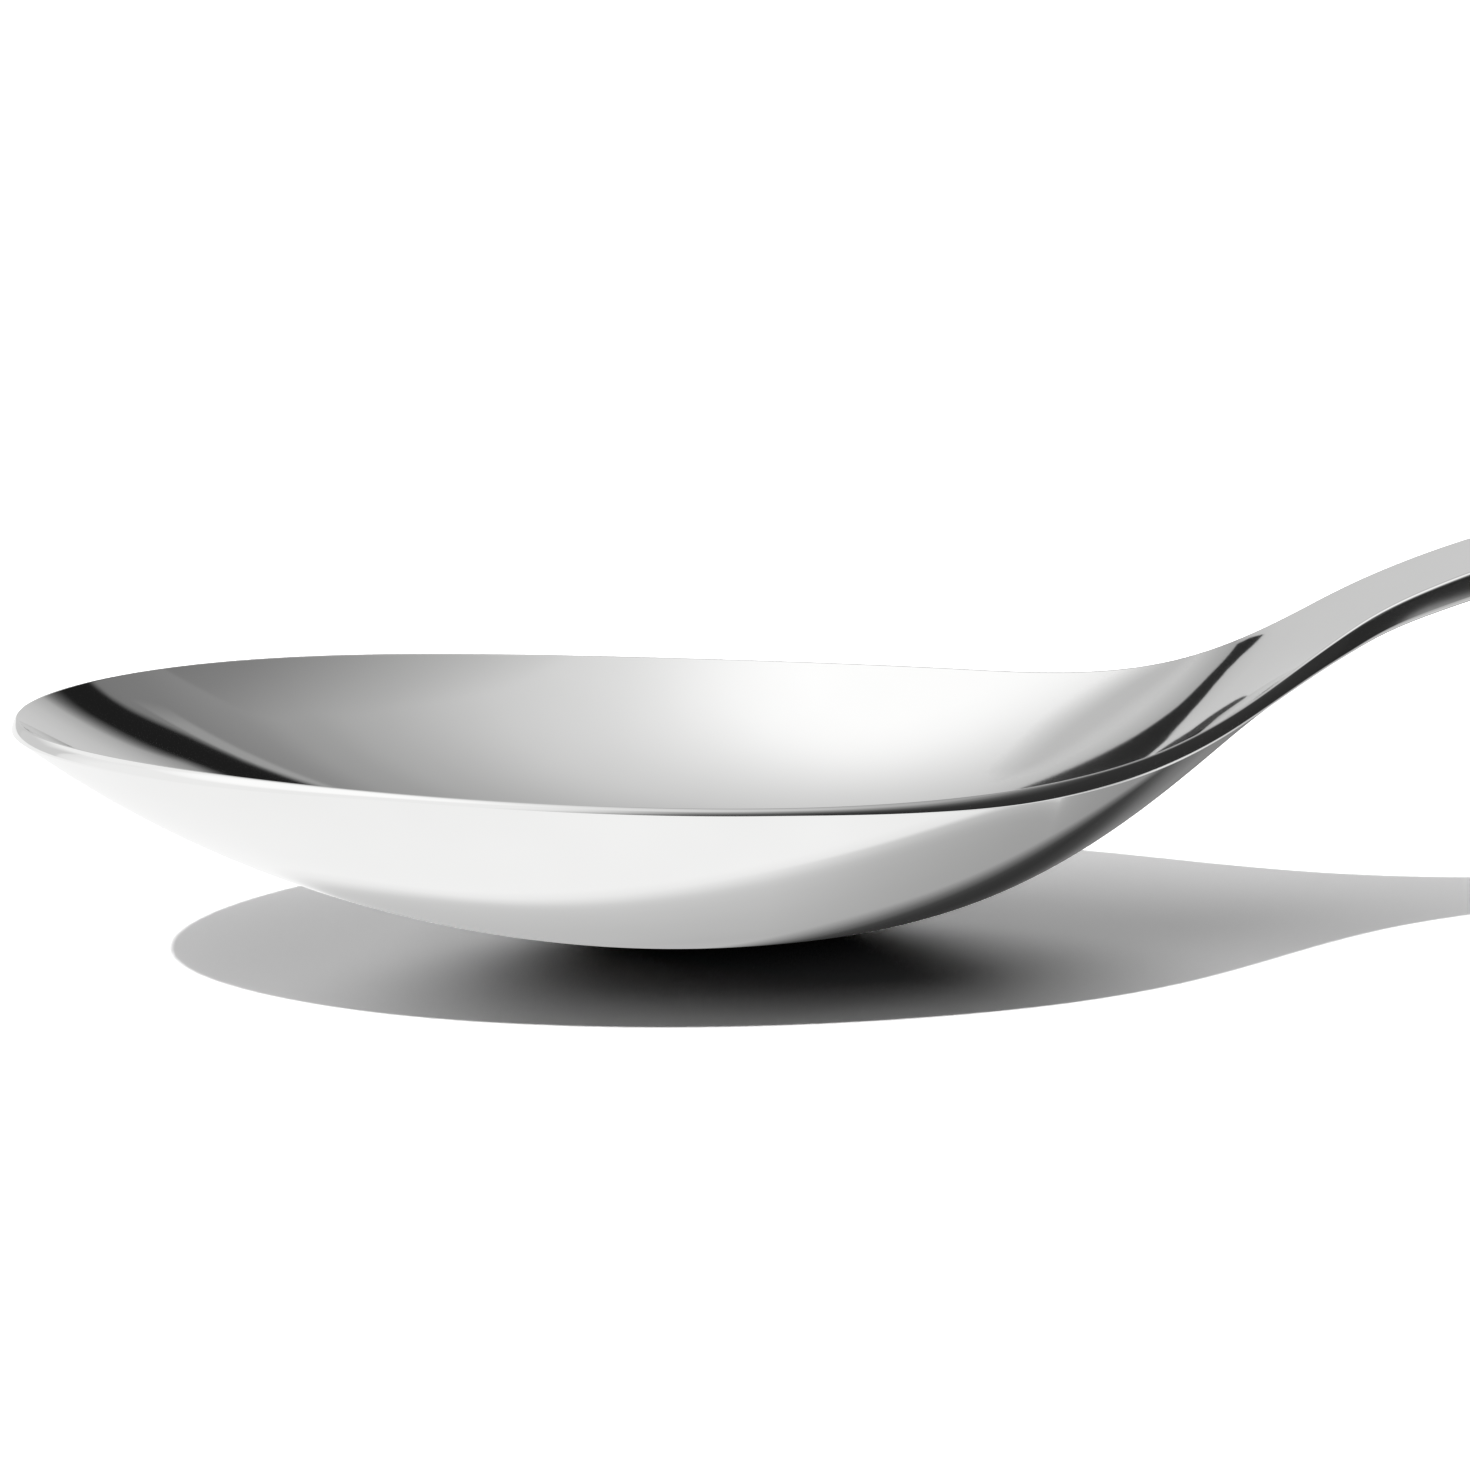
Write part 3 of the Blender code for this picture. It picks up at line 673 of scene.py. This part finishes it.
def make_blank():
    """The flat blank: each row runs over the upper face, round one edge, back under and round the other."""
    rim_x = blank_rows()
    rim_y = half_width(np.maximum(rim_x, NEARLY_TIP))
    rim_y[0] = 0.0
    turn = half_width_slope(np.maximum(rim_x, NEARLY_TIP))
    heading = np.stack((-turn, np.ones_like(turn)), 1) / np.hypot(turn, 1.0)[:, None]
    heading[0] = -1.0, 0.0

    def rim_rise(reach):
        """Slope of the wall over its last stretch before the rim."""
        probe_x = np.maximum(rim_x - heading[:, 0] * reach, NEARLY_TIP)
        probe = wall_height(probe_x, rim_y - heading[:, 1] * reach)
        return np.where(rim_x < DISH_END, (RIM.height(np.minimum(rim_x, DISH_END)) - probe) / reach, 0.0)

    def inset(reach):
        """Where a face ends that leaves the rim a stretch along the wall."""
        step = (reach / np.hypot(1.0, rim_rise(reach)))[:, None]
        return rim_x[:, None] - heading[:, :1] * step, rim_y[:, None] - heading[:, 1:] * step

    down, inside, upper_reach, lower_reach = rim_profile(rim_x, rim_rise(RIM_CORNER))
    upper_x, upper_y = inset(upper_reach)
    lower_x, lower_y = inset(lower_reach)
    columns = np.sin(np.linspace(-math.pi / 2, math.pi / 2, HEAD_COLUMNS + 1))[None, :]
    edge_x, edge_y = rim_x[:, None] + 0 * down, rim_y[:, None] + 0 * down
    face = np.ones((len(rim_x), columns.size))
    x = np.concatenate((upper_x * face, edge_x, lower_x * face, edge_x), 1)
    y = np.concatenate((upper_y * columns, edge_y, lower_y * columns[:, ::-1], -edge_y), 1)
    points = np.stack((x, y, np.zeros_like(x)), 2)
    mesh = ring_mesh("spoon_head_piece", points, cap_last=True)

    thinned = 2 * rim_thinning(lower_x) * eased(np.abs(columns), 1 - THIN_MARGIN, 1.0)
    at = np.maximum(x, NEARLY_TIP)
    shaped = {
        "spine": SPINE.height(at),
        "spine_slope": SPINE.slope(at),
        "dish": dish(at),
        "dish_slope": dish_slope(at),
        "half_width": half_width(at),
        "half_width_slope": half_width_slope(at),
        "wall_side": np.concatenate((face, 1 + 0 * down, thinned - face, 1 + 0 * down), 1),
        "rim_down": np.concatenate((0 * face, down, 0 * face, down[:, ::-1]), 1),
        "rim_in": np.concatenate((0 * face, inside, 0 * face, inside[:, ::-1]), 1),
    }
    for name, values in shaped.items():
        attribute = mesh.attributes.new(name, "FLOAT", "POINT")
        attribute.data.foreach_set("value", values.astype(np.float32).ravel())
    headings = np.zeros((*x.shape, 3))
    headings[:, :, 0] = heading[:, :1]
    headings[:, :, 1] = heading[:, 1:] * np.where(
        np.arange(x.shape[1]) < x.shape[1] // 2 + 1, 1.0, -1.0)
    attribute = mesh.attributes.new("edge_heading", "FLOAT_VECTOR", "POINT")
    attribute.data.foreach_set("vector", headings.astype(np.float32).ravel())
    return mesh


def make_head(steel):
    head = new_object("spoon_head_piece", make_blank())
    press = head.modifiers.new("press", "NODES")
    press.node_group = press_tree()
    values = dict(PRESS_SIZES, Steel=steel)
    for socket in press.node_group.interface.items_tree:
        if socket.in_out == "INPUT" and socket.name in values:
            press[socket.identifier] = values[socket.name]
    settle(head)
    for name in (*RAIL_ATTRIBUTES, "edge_heading"):
        head.data.attributes.remove(head.data.attributes[name])
    close_mesh(head.data)
    for i in range(KEY_HOLE_COUNT):
        bore(head, TANG_END - KEY_HOLE_FROM_END - i * KEY_HOLE_PITCH, KEY_HOLE / 2, STEM_THICKNESS)
    smooth(head, HOLE_EDGE_ANGLE)
    finish_piece(head, "spoon_head", steel)


# Handle, collar and hanging tube: sections square to the spine

def handle_point(x, across, out):
    lean = np.arctan(SPINE.slope(x))
    return np.stack(np.broadcast_arrays(
        x - out * np.sin(lean), across, SPINE.height(x) + out * np.cos(lean)), -1)


def squared(angle, squareness):
    """Points of a unit section between an ellipse and a rectangle."""
    c, s = np.cos(angle), np.sin(angle)
    power = 2 / squareness
    return np.sign(c) * np.abs(c) ** power, np.sign(s) * np.abs(s) ** power


def even_angles(points, end, wide, high, squareness):
    """Angles that spread points evenly along a squared section, from 0 to the end angle."""
    angle = np.linspace(0.0, end, 4001)
    c, s = squared(angle, squareness)
    length = np.concatenate(([0.0], np.cumsum(np.hypot(np.diff(wide * c), np.diff(high * s)))))
    return np.interp(np.linspace(0.0, length[-1], points), length, angle)


def bore(item, x, radius, half_length):
    """Cuts a round hole square to the spine."""
    mesh = bmesh.new()
    bmesh.ops.create_cone(mesh, cap_ends=True, segments=ROUND_STEPS, radius1=radius, radius2=radius,
                          depth=2 * half_length)
    data = bpy.data.meshes.new("drill")
    mesh.to_mesh(data)
    mesh.free()
    drill = new_object("drill", data)
    drill.location = handle_point(x, 0.0, 0.0)
    drill.rotation_euler.y = -math.atan(SPINE.slope(x))
    cut = item.modifiers.new("hole", "BOOLEAN")
    cut.operation = "DIFFERENCE"
    cut.solver = "MANIFOLD"
    cut.object = drill
    settle(item)
    bpy.data.objects.remove(drill, do_unlink=True)


def shell_rows():
    """Rows of a shell: places along, and how far the outside is drawn in at the rounded mouth."""
    turn = np.linspace(math.pi / 2, 0.0, CORNER_STEPS)
    mouth = MOUTH + SHELL_EDGE * (1 - np.sin(turn))
    along = np.linspace(mouth[-1], TAIL_START, round((TAIL_START - MOUTH) / HANDLE_ROW_STEP))[1:]
    tail = TAIL_START + TAIL_ROUND * np.sin(np.linspace(0.0, math.pi / 2, TAIL_ROWS))[1:]
    x = np.concatenate((mouth, along, tail))
    drawn_in = np.zeros_like(x)
    drawn_in[:CORNER_STEPS] = SHELL_EDGE * (1 - np.cos(turn))
    return x[:, None], drawn_in[:, None]


def make_shell(name, side, steel):
    """One pressed half of the handle; side is 1 for the upper half, -1 for the lower."""
    x, drawn_in = shell_rows()
    wide, high = handle_half_sizes(x)
    tail = np.clip((x - TAIL_START) / TAIL_ROUND, 0.0, 1.0)
    angles = even_angles(SECTION_POINTS // 2 + 1, math.pi, HANDLE_WIDTH / 2, HANDLE_HEIGHT / 2, SQUARENESS)
    c, s = (part[None, :] for part in squared(angles, SQUARENESS))
    floor = SEAM_GAP / 2
    edge = np.minimum(SHELL_EDGE, np.minimum(wide, high) / 2)
    turn = np.linspace(-math.pi / 2, 0.0, CORNER_STEPS)[None, :]
    corner_in, corner_up = edge * (1 - np.cos(turn)), edge * (1 + np.sin(turn))

    outer_wide, outer_high = wide - drawn_in, high - drawn_in
    outer_y = np.concatenate((outer_wide - corner_in, outer_wide * c[:, 1:-1],
                              (corner_in - outer_wide)[:, ::-1]), 1)
    outer_up = np.concatenate((corner_up, outer_high * s[:, 1:-1], corner_up[:, ::-1]), 1)
    wall_wide, wall_high = np.minimum(SHELL_WALL, wide / 2), np.minimum(SHELL_WALL, high / 2)
    inner_y = ((wide - wall_wide) * c)[:, ::-1]
    inner_up = ((high - wall_high) * s)[:, ::-1]
    inner_x = x - SHELL_WALL * tail ** 2

    outer = handle_point(x, outer_y, side * (floor + outer_up))
    inner = handle_point(inner_x, inner_y, side * (floor + inner_up))
    rings = np.concatenate((outer, inner), 1)
    around = np.cumsum(np.linalg.norm(np.diff(rings[len(rings) // 2], axis=0, prepend=0.0), axis=1))
    lengths = np.stack(np.broadcast_arrays(x, around[None, :]), 2)
    shell = new_object(name + "_piece", ring_mesh(name + "_piece", rings, cap_first=True, lengths=lengths))
    close_mesh(shell.data)
    bore(shell, HANG_AT, HANG_BORE / 2 + HANG_TUBE_WALL + FIT_GAP, TAIL_THICKNESS)
    smooth(shell, HOLE_EDGE_ANGLE)
    finish_piece(shell, name, steel)


def make_collar(steel):
    """Flared collar: out over the nose and the flare, in round the spigot, and back through the slot."""
    nose, shoulder = MOUTH - COLLAR_LENGTH, MOUTH - FIT_GAP
    nose_wide, nose_high = SLOT_HALF_WIDTH + COLLAR_NOSE_WALL, SLOT_HALF_HEIGHT + COLLAR_NOSE_WALL
    angles = even_angles(SECTION_POINTS + 1, 2 * math.pi, MOUTH_HALF_WIDTH, MOUTH_HALF_HEIGHT, SQUARENESS)
    body, slot = squared(angles[:-1], SQUARENESS), squared(angles[:-1], SLOT_SQUARENESS)

    def flare(x):
        grow = math.sin(math.pi / 2 * (x - nose) / (shoulder - nose))
        return (nose_wide + (MOUTH_HALF_WIDTH - nose_wide) * grow,
                nose_high + (MOUTH_HALF_HEIGHT + SEAM_GAP / 2 - nose_high) * grow)

    rows = []

    def add(x, wide, high, shape=body):
        rows.append(handle_point(x, wide * shape[0], high * shape[1]))

    quarter = np.linspace(math.pi / 2, 0.0, CORNER_STEPS + 2)
    for turn in quarter:
        x = nose + COLLAR_EDGE * (1 - math.sin(turn))
        wide, high = flare(x)
        add(x, wide - COLLAR_EDGE * (1 - math.cos(turn)), high - COLLAR_EDGE * (1 - math.cos(turn)))
    for x in np.linspace(nose + COLLAR_EDGE, shoulder - SHELL_EDGE, COLLAR_ROWS)[1:]:
        add(x, *flare(x))
    for turn in quarter[::-1][1:]:
        wide, high = flare(shoulder)
        drawn_in = SHELL_EDGE * (1 - math.cos(turn))
        add(shoulder - SHELL_EDGE * (1 - math.sin(turn)), wide - drawn_in, high - drawn_in)
    add(shoulder, SPIGOT_HALF_WIDTH, SPIGOT_HALF_HEIGHT)
    add(MOUTH + COLLAR_SPIGOT, SPIGOT_HALF_WIDTH, SPIGOT_HALF_HEIGHT)
    for x in np.linspace(MOUTH + COLLAR_SPIGOT, nose, SLOT_ROWS):
        add(x, stem_half_width(x) + FIT_GAP, SLOT_HALF_HEIGHT, slot)
    rings = np.array(rows + rows[:1])
    collar = new_object("collar_piece", ring_mesh("collar_piece", rings))
    close_mesh(collar.data)
    smooth(collar, HOLE_EDGE_ANGLE)
    finish_piece(collar, "collar", steel)


def make_hang_tube(steel):
    """Turned tube with rounded lips, set square to the spine."""
    inner, outer, lip = HANG_BORE / 2, HANG_BORE / 2 + HANG_TUBE_WALL, HANG_TUBE_LIP
    end = HANG_TUBE_HALF - lip
    corners = ((outer - lip, end, 0.0), (inner + lip, end, math.pi / 2),
               (inner + lip, -end, math.pi), (outer - lip, -end, 1.5 * math.pi))
    profile = []
    for radius, height, start in corners:
        for turn in np.linspace(start, start + math.pi / 2, CORNER_STEPS + 1):
            profile.append((radius + lip * math.cos(turn), height + lip * math.sin(turn)))
    radius, height = np.array(profile).T
    round_turn = np.linspace(0.0, 2 * math.pi, ROUND_STEPS + 1)[:, None]
    lean = math.atan(SPINE.slope(HANG_AT))
    reach = radius[None, :] * np.cos(round_turn)
    centre_x, _, centre_z = handle_point(HANG_AT, 0.0, 0.0)
    rings = np.stack(np.broadcast_arrays(
        centre_x + reach * math.cos(lean) - height * math.sin(lean), radius[None, :] * np.sin(round_turn),
        centre_z + reach * math.sin(lean) + height * math.cos(lean)), 2)
    tube = new_object("hang_tube_piece", ring_mesh("hang_tube_piece", rings))
    close_mesh(tube.data)
    smooth(tube)
    finish_piece(tube, "hang_tube", steel)


# Materials

def new_material(name):
    material = bpy.data.materials.new(name)
    material.use_nodes = True
    tree = material.node_tree
    return material, tree, tree.nodes["Principled BSDF"]


def noise(tree, coordinates, scale, detail, stretch=(1.0, 1.0, 1.0)):
    mapping = tree.nodes.new("ShaderNodeMapping")
    mapping.inputs["Scale"].default_value = stretch
    texture = tree.nodes.new("ShaderNodeTexNoise")
    texture.inputs["Scale"].default_value = scale
    texture.inputs["Detail"].default_value = detail
    tree.links.new(coordinates, mapping.inputs["Vector"])
    tree.links.new(mapping.outputs[0], texture.inputs["Vector"])
    return texture.outputs["Fac"]


def spread(tree, value, low, high):
    """A noise value laid over a range."""
    node = tree.nodes.new("ShaderNodeMapRange")
    tree.links.new(value, node.inputs["Value"])
    for name, limit in (("From Min", 0.25), ("From Max", 0.75), ("To Min", low), ("To Max", high)):
        node.inputs[name].default_value = limit
    return node.outputs[0]


def tint(tree, value, first, second):
    ramp = tree.nodes.new("ShaderNodeValToRGB")
    tree.links.new(value, ramp.inputs["Fac"])
    for stop, colour, at in zip(ramp.color_ramp.elements, (first, second), (0.3, 0.7)):
        stop.color = (*colour, 1.0)
        stop.position = at
    return ramp.outputs["Color"]


def bump(tree, value, depth):
    node = tree.nodes.new("ShaderNodeBump")
    node.inputs["Strength"].default_value = 1.0
    node.inputs["Distance"].default_value = depth
    tree.links.new(value, node.inputs["Height"])
    return node.outputs["Normal"]


def mirror_steel():
    """Polished steel: a little haze in patches, and the faint ripple that pressing leaves."""
    material, tree, shader = new_material("mirror_steel")
    place = tree.nodes.new("ShaderNodeTexCoord").outputs["Object"]
    patches = noise(tree, place, 45.0, 3.0)
    ripple = noise(tree, place, 1500.0, 1.0)
    tree.links.new(tint(tree, patches, (0.84, 0.84, 0.835), (0.88, 0.88, 0.875)), shader.inputs["Base Color"])
    tree.links.new(spread(tree, patches, 0.05, 0.085), shader.inputs["Roughness"])
    tree.links.new(bump(tree, ripple, 2e-7), shader.inputs["Normal"])
    shader.inputs["Metallic"].default_value = 1.0
    return material


def satin_steel():
    """Steel brushed along the handle."""
    material, tree, shader = new_material("satin_steel")
    lengths = tree.nodes.new("ShaderNodeUVMap")
    lengths.uv_map = "brushed"
    strokes = noise(tree, lengths.outputs[0], 1.0, 3.0, (90.0, 5200.0, 1.0))
    patches = noise(tree, lengths.outputs[0], 1.0, 2.0, (30.0, 120.0, 1.0))
    tree.links.new(tint(tree, strokes, (0.67, 0.67, 0.665), (0.75, 0.75, 0.745)), shader.inputs["Base Color"])
    tree.links.new(spread(tree, patches, 0.24, 0.33), shader.inputs["Roughness"])
    tree.links.new(bump(tree, strokes, 4e-6), shader.inputs["Normal"])
    shader.inputs["Metallic"].default_value = 1.0
    return material


def cast_resin():
    """Grey filler with a slight mottle."""
    material, tree, shader = new_material("cast_resin")
    mottle = noise(tree, tree.nodes.new("ShaderNodeTexCoord").outputs["Object"], 300.0, 4.0)
    tree.links.new(tint(tree, mottle, (0.26, 0.26, 0.24), (0.34, 0.34, 0.32)), shader.inputs["Base Color"])
    tree.links.new(spread(tree, mottle, 0.52, 0.68), shader.inputs["Roughness"])
    return material


# Stage

def ramp(field, *stops):
    """Tones over a value, as (value, tone) from the lowest value up; values lie from 0 to 1."""
    node = field.tree.nodes.new("ShaderNodeValToRGB")
    put(field.tree, node.inputs["Fac"], field)
    elements = node.color_ramp.elements
    while len(elements) < len(stops):
        elements.new(1.0)
    for element, (at, tone) in zip(elements, stops):
        element.position = at
        element.color = (tone, tone, tone, 1.0)
    return Field(field.tree, node.outputs["Color"])


def toward(tree, place, direction):
    """How far a place lies toward a direction: 0 is behind, 1 is straight in it."""
    way = Vector(direction).normalized() / (2 * TENT_RADIUS)
    return vector_math(tree, "DOT_PRODUCT", Field(tree, place), way) + 0.5


def oval(tree, place, centre, size, turn):
    """Distance from a spot on the table, where its edge is at 0.5."""
    node = tree.nodes.new("ShaderNodeMapping")
    node.vector_type = "TEXTURE"
    node.inputs["Location"].default_value = (*centre, 0.0)
    node.inputs["Rotation"].default_value = (0.0, 0.0, turn)
    node.inputs["Scale"].default_value = (*size, 1.0)
    tree.links.new(place, node.inputs["Vector"])
    return vector_math(tree, "LENGTH", Field(tree, node.outputs[0]))


def glowing(tree, tone, strength):
    node = tree.nodes.new("ShaderNodeEmission")
    put(tree, node.inputs["Color"], tone)
    node.inputs["Strength"].default_value = strength
    return node.outputs[0]


def firsthand(tree):
    """1 where a thing is seen straight or in the steel, 0 where it would light the table by the steel."""
    return Field(tree, tree.nodes.new("ShaderNodeLightPath").outputs["Diffuse Depth"]).math("LESS_THAN", 0.5)


def stage_item(name, points, faces, material, mirrored_only=True):
    mesh = bpy.data.meshes.new(name)
    mesh.from_pydata(points, [], faces)
    mesh.materials.append(material)
    material.cycles.emission_sampling = "NONE"
    item = new_object(name, mesh)
    if mirrored_only:
        item.visible_camera = item.visible_diffuse = False
        item.visible_transmission = item.visible_shadow = False
    return item


def overhead(x, y, distance, seen_from=BOWL_PLACE):
    """A point of the studio seen from the spoon, x degrees right of straight up and y degrees back."""
    tilt = math.hypot(x, y)
    out = math.sin(math.radians(tilt)) / max(tilt, 1e-9)
    return Vector(seen_from) + distance * Vector((x * out, y * out, math.cos(math.radians(tilt))))


def make_tent():
    """Soft white tent round the table, brightest at the upper left, seen only in the steel: its glowing tones
    are painted reflections.
    """
    material, tree, shader = new_material("tent_cloth")
    tree.nodes.remove(shader)
    place = tree.nodes.new("ShaderNodeTexCoord").outputs["Object"]

    def wall(direction, tones):
        return ramp(toward(tree, place, direction), *tones)

    lamp_side = wall(overhead(*TENT_LAMP, 1.0) - Vector(BOWL_PLACE), TENT_LAMP_TONES)
    right_wall = wall(TENT_RIGHT, TENT_RIGHT_TONES)
    right_wall = right_wall.math("MAXIMUM", wall(BACK, TENT_RIGHT_BACK_TONES))
    tone = lamp_side.math("MINIMUM", right_wall)
    left_wall = wall(TENT_LEFT, TENT_LEFT_TONES).math("MINIMUM", wall(TENT_LEFT_END, TENT_LEFT_END_TONES))
    streak = wall(TENT_STREAK, TENT_STREAK_TONES).math("MINIMUM", wall(RIGHT, TENT_STREAK_END_TONES))
    back_wall, corner = wall(BACK, TENT_BACK_TONES), wall(TENT_CORNER, TENT_CORNER_TONES)
    for other in (left_wall, streak, back_wall, corner):
        tone = tone.math("MAXIMUM", other)
    tone = tone * firsthand(tree)
    tree.links.new(glowing(tree, tone, TENT_STRENGTH), tree.nodes["Material Output"].inputs["Surface"])
    work = bmesh.new()
    bmesh.ops.create_uvsphere(work, u_segments=96, v_segments=48, radius=TENT_RADIUS)
    points, faces = [v.co[:] for v in work.verts], [[v.index for v in f.verts] for f in work.faces]
    work.free()
    tent = stage_item("tent", points, faces, material)
    tent.location = BOWL_PLACE


def between(first, second, share):
    return tuple(a + share * (b - a) for a, b in zip(first, second))


def card_rings(outline):
    """Rings of a card's points, and how much each covers. Where an edge fades both ways, short sides keep the
    card round, so that every ray to it has its true length."""
    if len(outline[0]) < 4:
        faded = [(point[0], point[2]) for point in outline if len(point) == 3]
        return [([point[:2] for point in outline], 1.0)] + ([(faded, 0.0)] if faded else [])
    outline = [between(point, after, share)
               for point, after in zip(outline, outline[1:] + outline[:1]) for share in CARD_SIDE_STEPS]
    middle = [sum(figures) / len(outline) for figures in zip(*outline)]
    rings = [([between(middle, point[:2], share) for point in outline], 1.0) for share in CARD_RINGS]
    for share in FADE_RINGS:
        rings.append(([between(point[:2], point[2:], share) for point in outline], 1.0 - share))
    return rings


def make_cards():
    """Cards in the tent, seen only in the steel, whose painted reflections give the bright steel its dark and
    pale edges.
    """
    for name, (tone, seen_from, distance, outline) in CARDS.items():
        material, tree, shader = new_material(name)
        tree.nodes.remove(shader)
        new, link = tree.nodes.new, tree.links.new
        cover, mix = new("ShaderNodeAttribute"), new("ShaderNodeMixShader")
        cover.attribute_name = "cover"
        # The card's painted reflection shows only to rays of these lengths
        away = Field(tree, new("ShaderNodeLightPath").outputs["Ray Length"])
        least, most = CARD_RAYS.get(name, (0.0, CARD_REACH * distance))
        shown = away.math("GREATER_THAN", least) * away.math("LESS_THAN", most)
        put(tree, mix.inputs["Fac"], Field(tree, cover.outputs["Fac"]) * shown)
        link(new("ShaderNodeBsdfTransparent").outputs[0], mix.inputs[1])
        link(glowing(tree, (tone, tone, tone, 1.0), 1.0), mix.inputs[2])
        link(mix.outputs[0], tree.nodes["Material Output"].inputs["Surface"])
        rings = card_rings(outline)
        count = len(rings[0][0])
        points = [overhead(*point, distance, seen_from) for ring, _ in rings for point in ring]
        faces = [tuple(range(count))]
        for at in range(count * (len(rings) - 1)):
            after = at + 1 if (at + 1) % count else at + 1 - count
            faces.append((at, after, after + count, at + count))
        card = stage_item(name, points, faces, material)
        covers = [share for _, share in rings for _ in range(count)]
        card.data.attributes.new("cover", "FLOAT", "POINT").data.foreach_set("value", covers)


def make_floor():
    """White table: bright paper to the camera, and to the steel white with painted shade under the bowl and
    painted dark at the front right.
    """
    material, tree, shader = new_material("white_table")
    new, link = tree.nodes.new, tree.links.new
    shader.inputs["Base Color"].default_value = (*TABLE_COLOUR, 1.0)
    shader.inputs["Roughness"].default_value = 0.8
    shader.inputs["Specular IOR Level"].default_value = 0.0
    place = new("ShaderNodeTexCoord").outputs["Object"]
    # Painted shade, seen only in the steel: ovals under the bowl and the stem, deeper towards the right
    rim = oval(tree, place, *SHADE).math("MINIMUM", oval(tree, place, *STEM_SHADE))
    sideways = new("ShaderNodeSeparateXYZ")
    link(place, sideways.inputs[0])

    def along(axis, start, end, *tones):
        return ramp((Field(tree, sideways.outputs[axis]) - start) / (end - start), *tones)

    deeper = along("X", SHADE_FROM, SHADE_TO, *SHADE_DEEPER)
    deeper = deeper.math("MAXIMUM", ramp(rim, *SHADE_EDGE))
    # Painted shadow, darkest where the bowl rests
    contact_shade = ramp(oval(tree, place, *CONTACT_SHADE), *CONTACT_SHADE_TONES)
    contact_shade = contact_shade.math("MAXIMUM", along("Y", CONTACT_SHADE_NEAR, CONTACT_SHADE_FAR, *CONTACT_SHADE_FADE))
    # Painted dark reflection on the right, darker towards the front
    front = along("X", DARK_FRONT_RIGHT_FROM, DARK_FRONT_RIGHT_TO, (0.0, 1.0), (1.0, 0.0))
    front = front.math("MAXIMUM", along("Y", DARK_FRONT_FROM, DARK_FRONT_TO, *DARK_FRONT_TONES))
    shade = (ramp(rim, *SHADE_TONES) * deeper).math("MINIMUM", contact_shade)
    tone = shade * front * firsthand(tree)
    paper = new("ShaderNodeBsdfDiffuse")
    link(tint(tree, noise(tree, place, 1500.0, 3.0), *TABLE_SEEN), paper.inputs["Color"])
    look = shader.outputs[0]
    # Camera rays see the lit paper with the real shadow; glossy rays see the painted tones glowing instead
    for ray, seen in (("Is Camera Ray", paper.outputs[0]), ("Is Glossy Ray", glowing(tree, tone, 1.0))):
        mix = new("ShaderNodeMixShader")
        link(new("ShaderNodeLightPath").outputs[ray], mix.inputs["Fac"])
        link(look, mix.inputs[1])
        link(seen, mix.inputs[2])
        look = mix.outputs[0]
    link(look, tree.nodes["Material Output"].inputs["Surface"])
    corners = [(x * FLOOR_REACH, y * FLOOR_REACH, 0.0) for x, y in ((-1, -1), (1, -1), (1, 1), (-1, 1))]
    stage_item("floor", corners, [(0, 1, 2, 3)], material, mirrored_only=False)


def aim(item, travel):
    item.rotation_mode = "QUATERNION"
    item.rotation_quaternion = travel.to_track_quat("-Z", "Y")


def add_lamp(name, kind, travel, energy):
    data = bpy.data.lights.new(name, kind)
    data.energy = energy
    lamp = new_object(name, data)
    aim(lamp, Vector(travel))
    lamp.visible_glossy = lamp.visible_camera = False
    return lamp


def make_light():
    world = bpy.data.worlds.new("studio")
    bpy.context.scene.world = world
    world.use_nodes = True
    world.node_tree.nodes["Background"].inputs["Color"].default_value = (1.0, 1.0, 1.0, 1.0)
    world.node_tree.nodes["Background"].inputs["Strength"].default_value = ROOM_LIGHT
    add_lamp("key", "SUN", KEY_TRAVEL, KEY_LIGHT).data.angle = KEY_ANGLE
    for name, (way, size, energy) in SOFTBOXES.items():
        place = overhead(*way, LAMP_DISTANCE)
        soft = add_lamp(name, "AREA", Vector(BOWL_PLACE) - place, energy)
        soft.data.shape = "RECTANGLE"
        soft.data.size, soft.data.size_y = size
        soft.location = place


def make_camera():
    back = Vector((math.sin(CAMERA_AZIMUTH) * math.cos(CAMERA_ELEVATION),
                   -math.cos(CAMERA_AZIMUTH) * math.cos(CAMERA_ELEVATION), math.sin(CAMERA_ELEVATION)))
    data = bpy.data.cameras.new("camera")
    data.sensor_width = SENSOR
    data.lens = FOCAL_PIXELS * SENSOR / FRAME_PIXELS
    camera = new_object("camera", data)
    camera.location = Vector(CAMERA_TARGET) + back * CAMERA_DISTANCE
    aim(camera, -back)
    bpy.context.scene.camera = camera


def make_spoon():
    polished, satin = mirror_steel(), satin_steel()
    make_head(polished)
    make_shell("handle_upper_shell", 1, satin)
    make_shell("handle_lower_shell", -1, satin)
    make_collar(polished)
    make_hang_tube(polished)
    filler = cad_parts["tang_filler"].data.materials
    filler.clear()
    filler.append(cast_resin())


bpy.context.scene.view_settings.view_transform = "Standard"
make_camera()
make_spoon()
make_floor()
make_tent()
make_cards()
make_light()
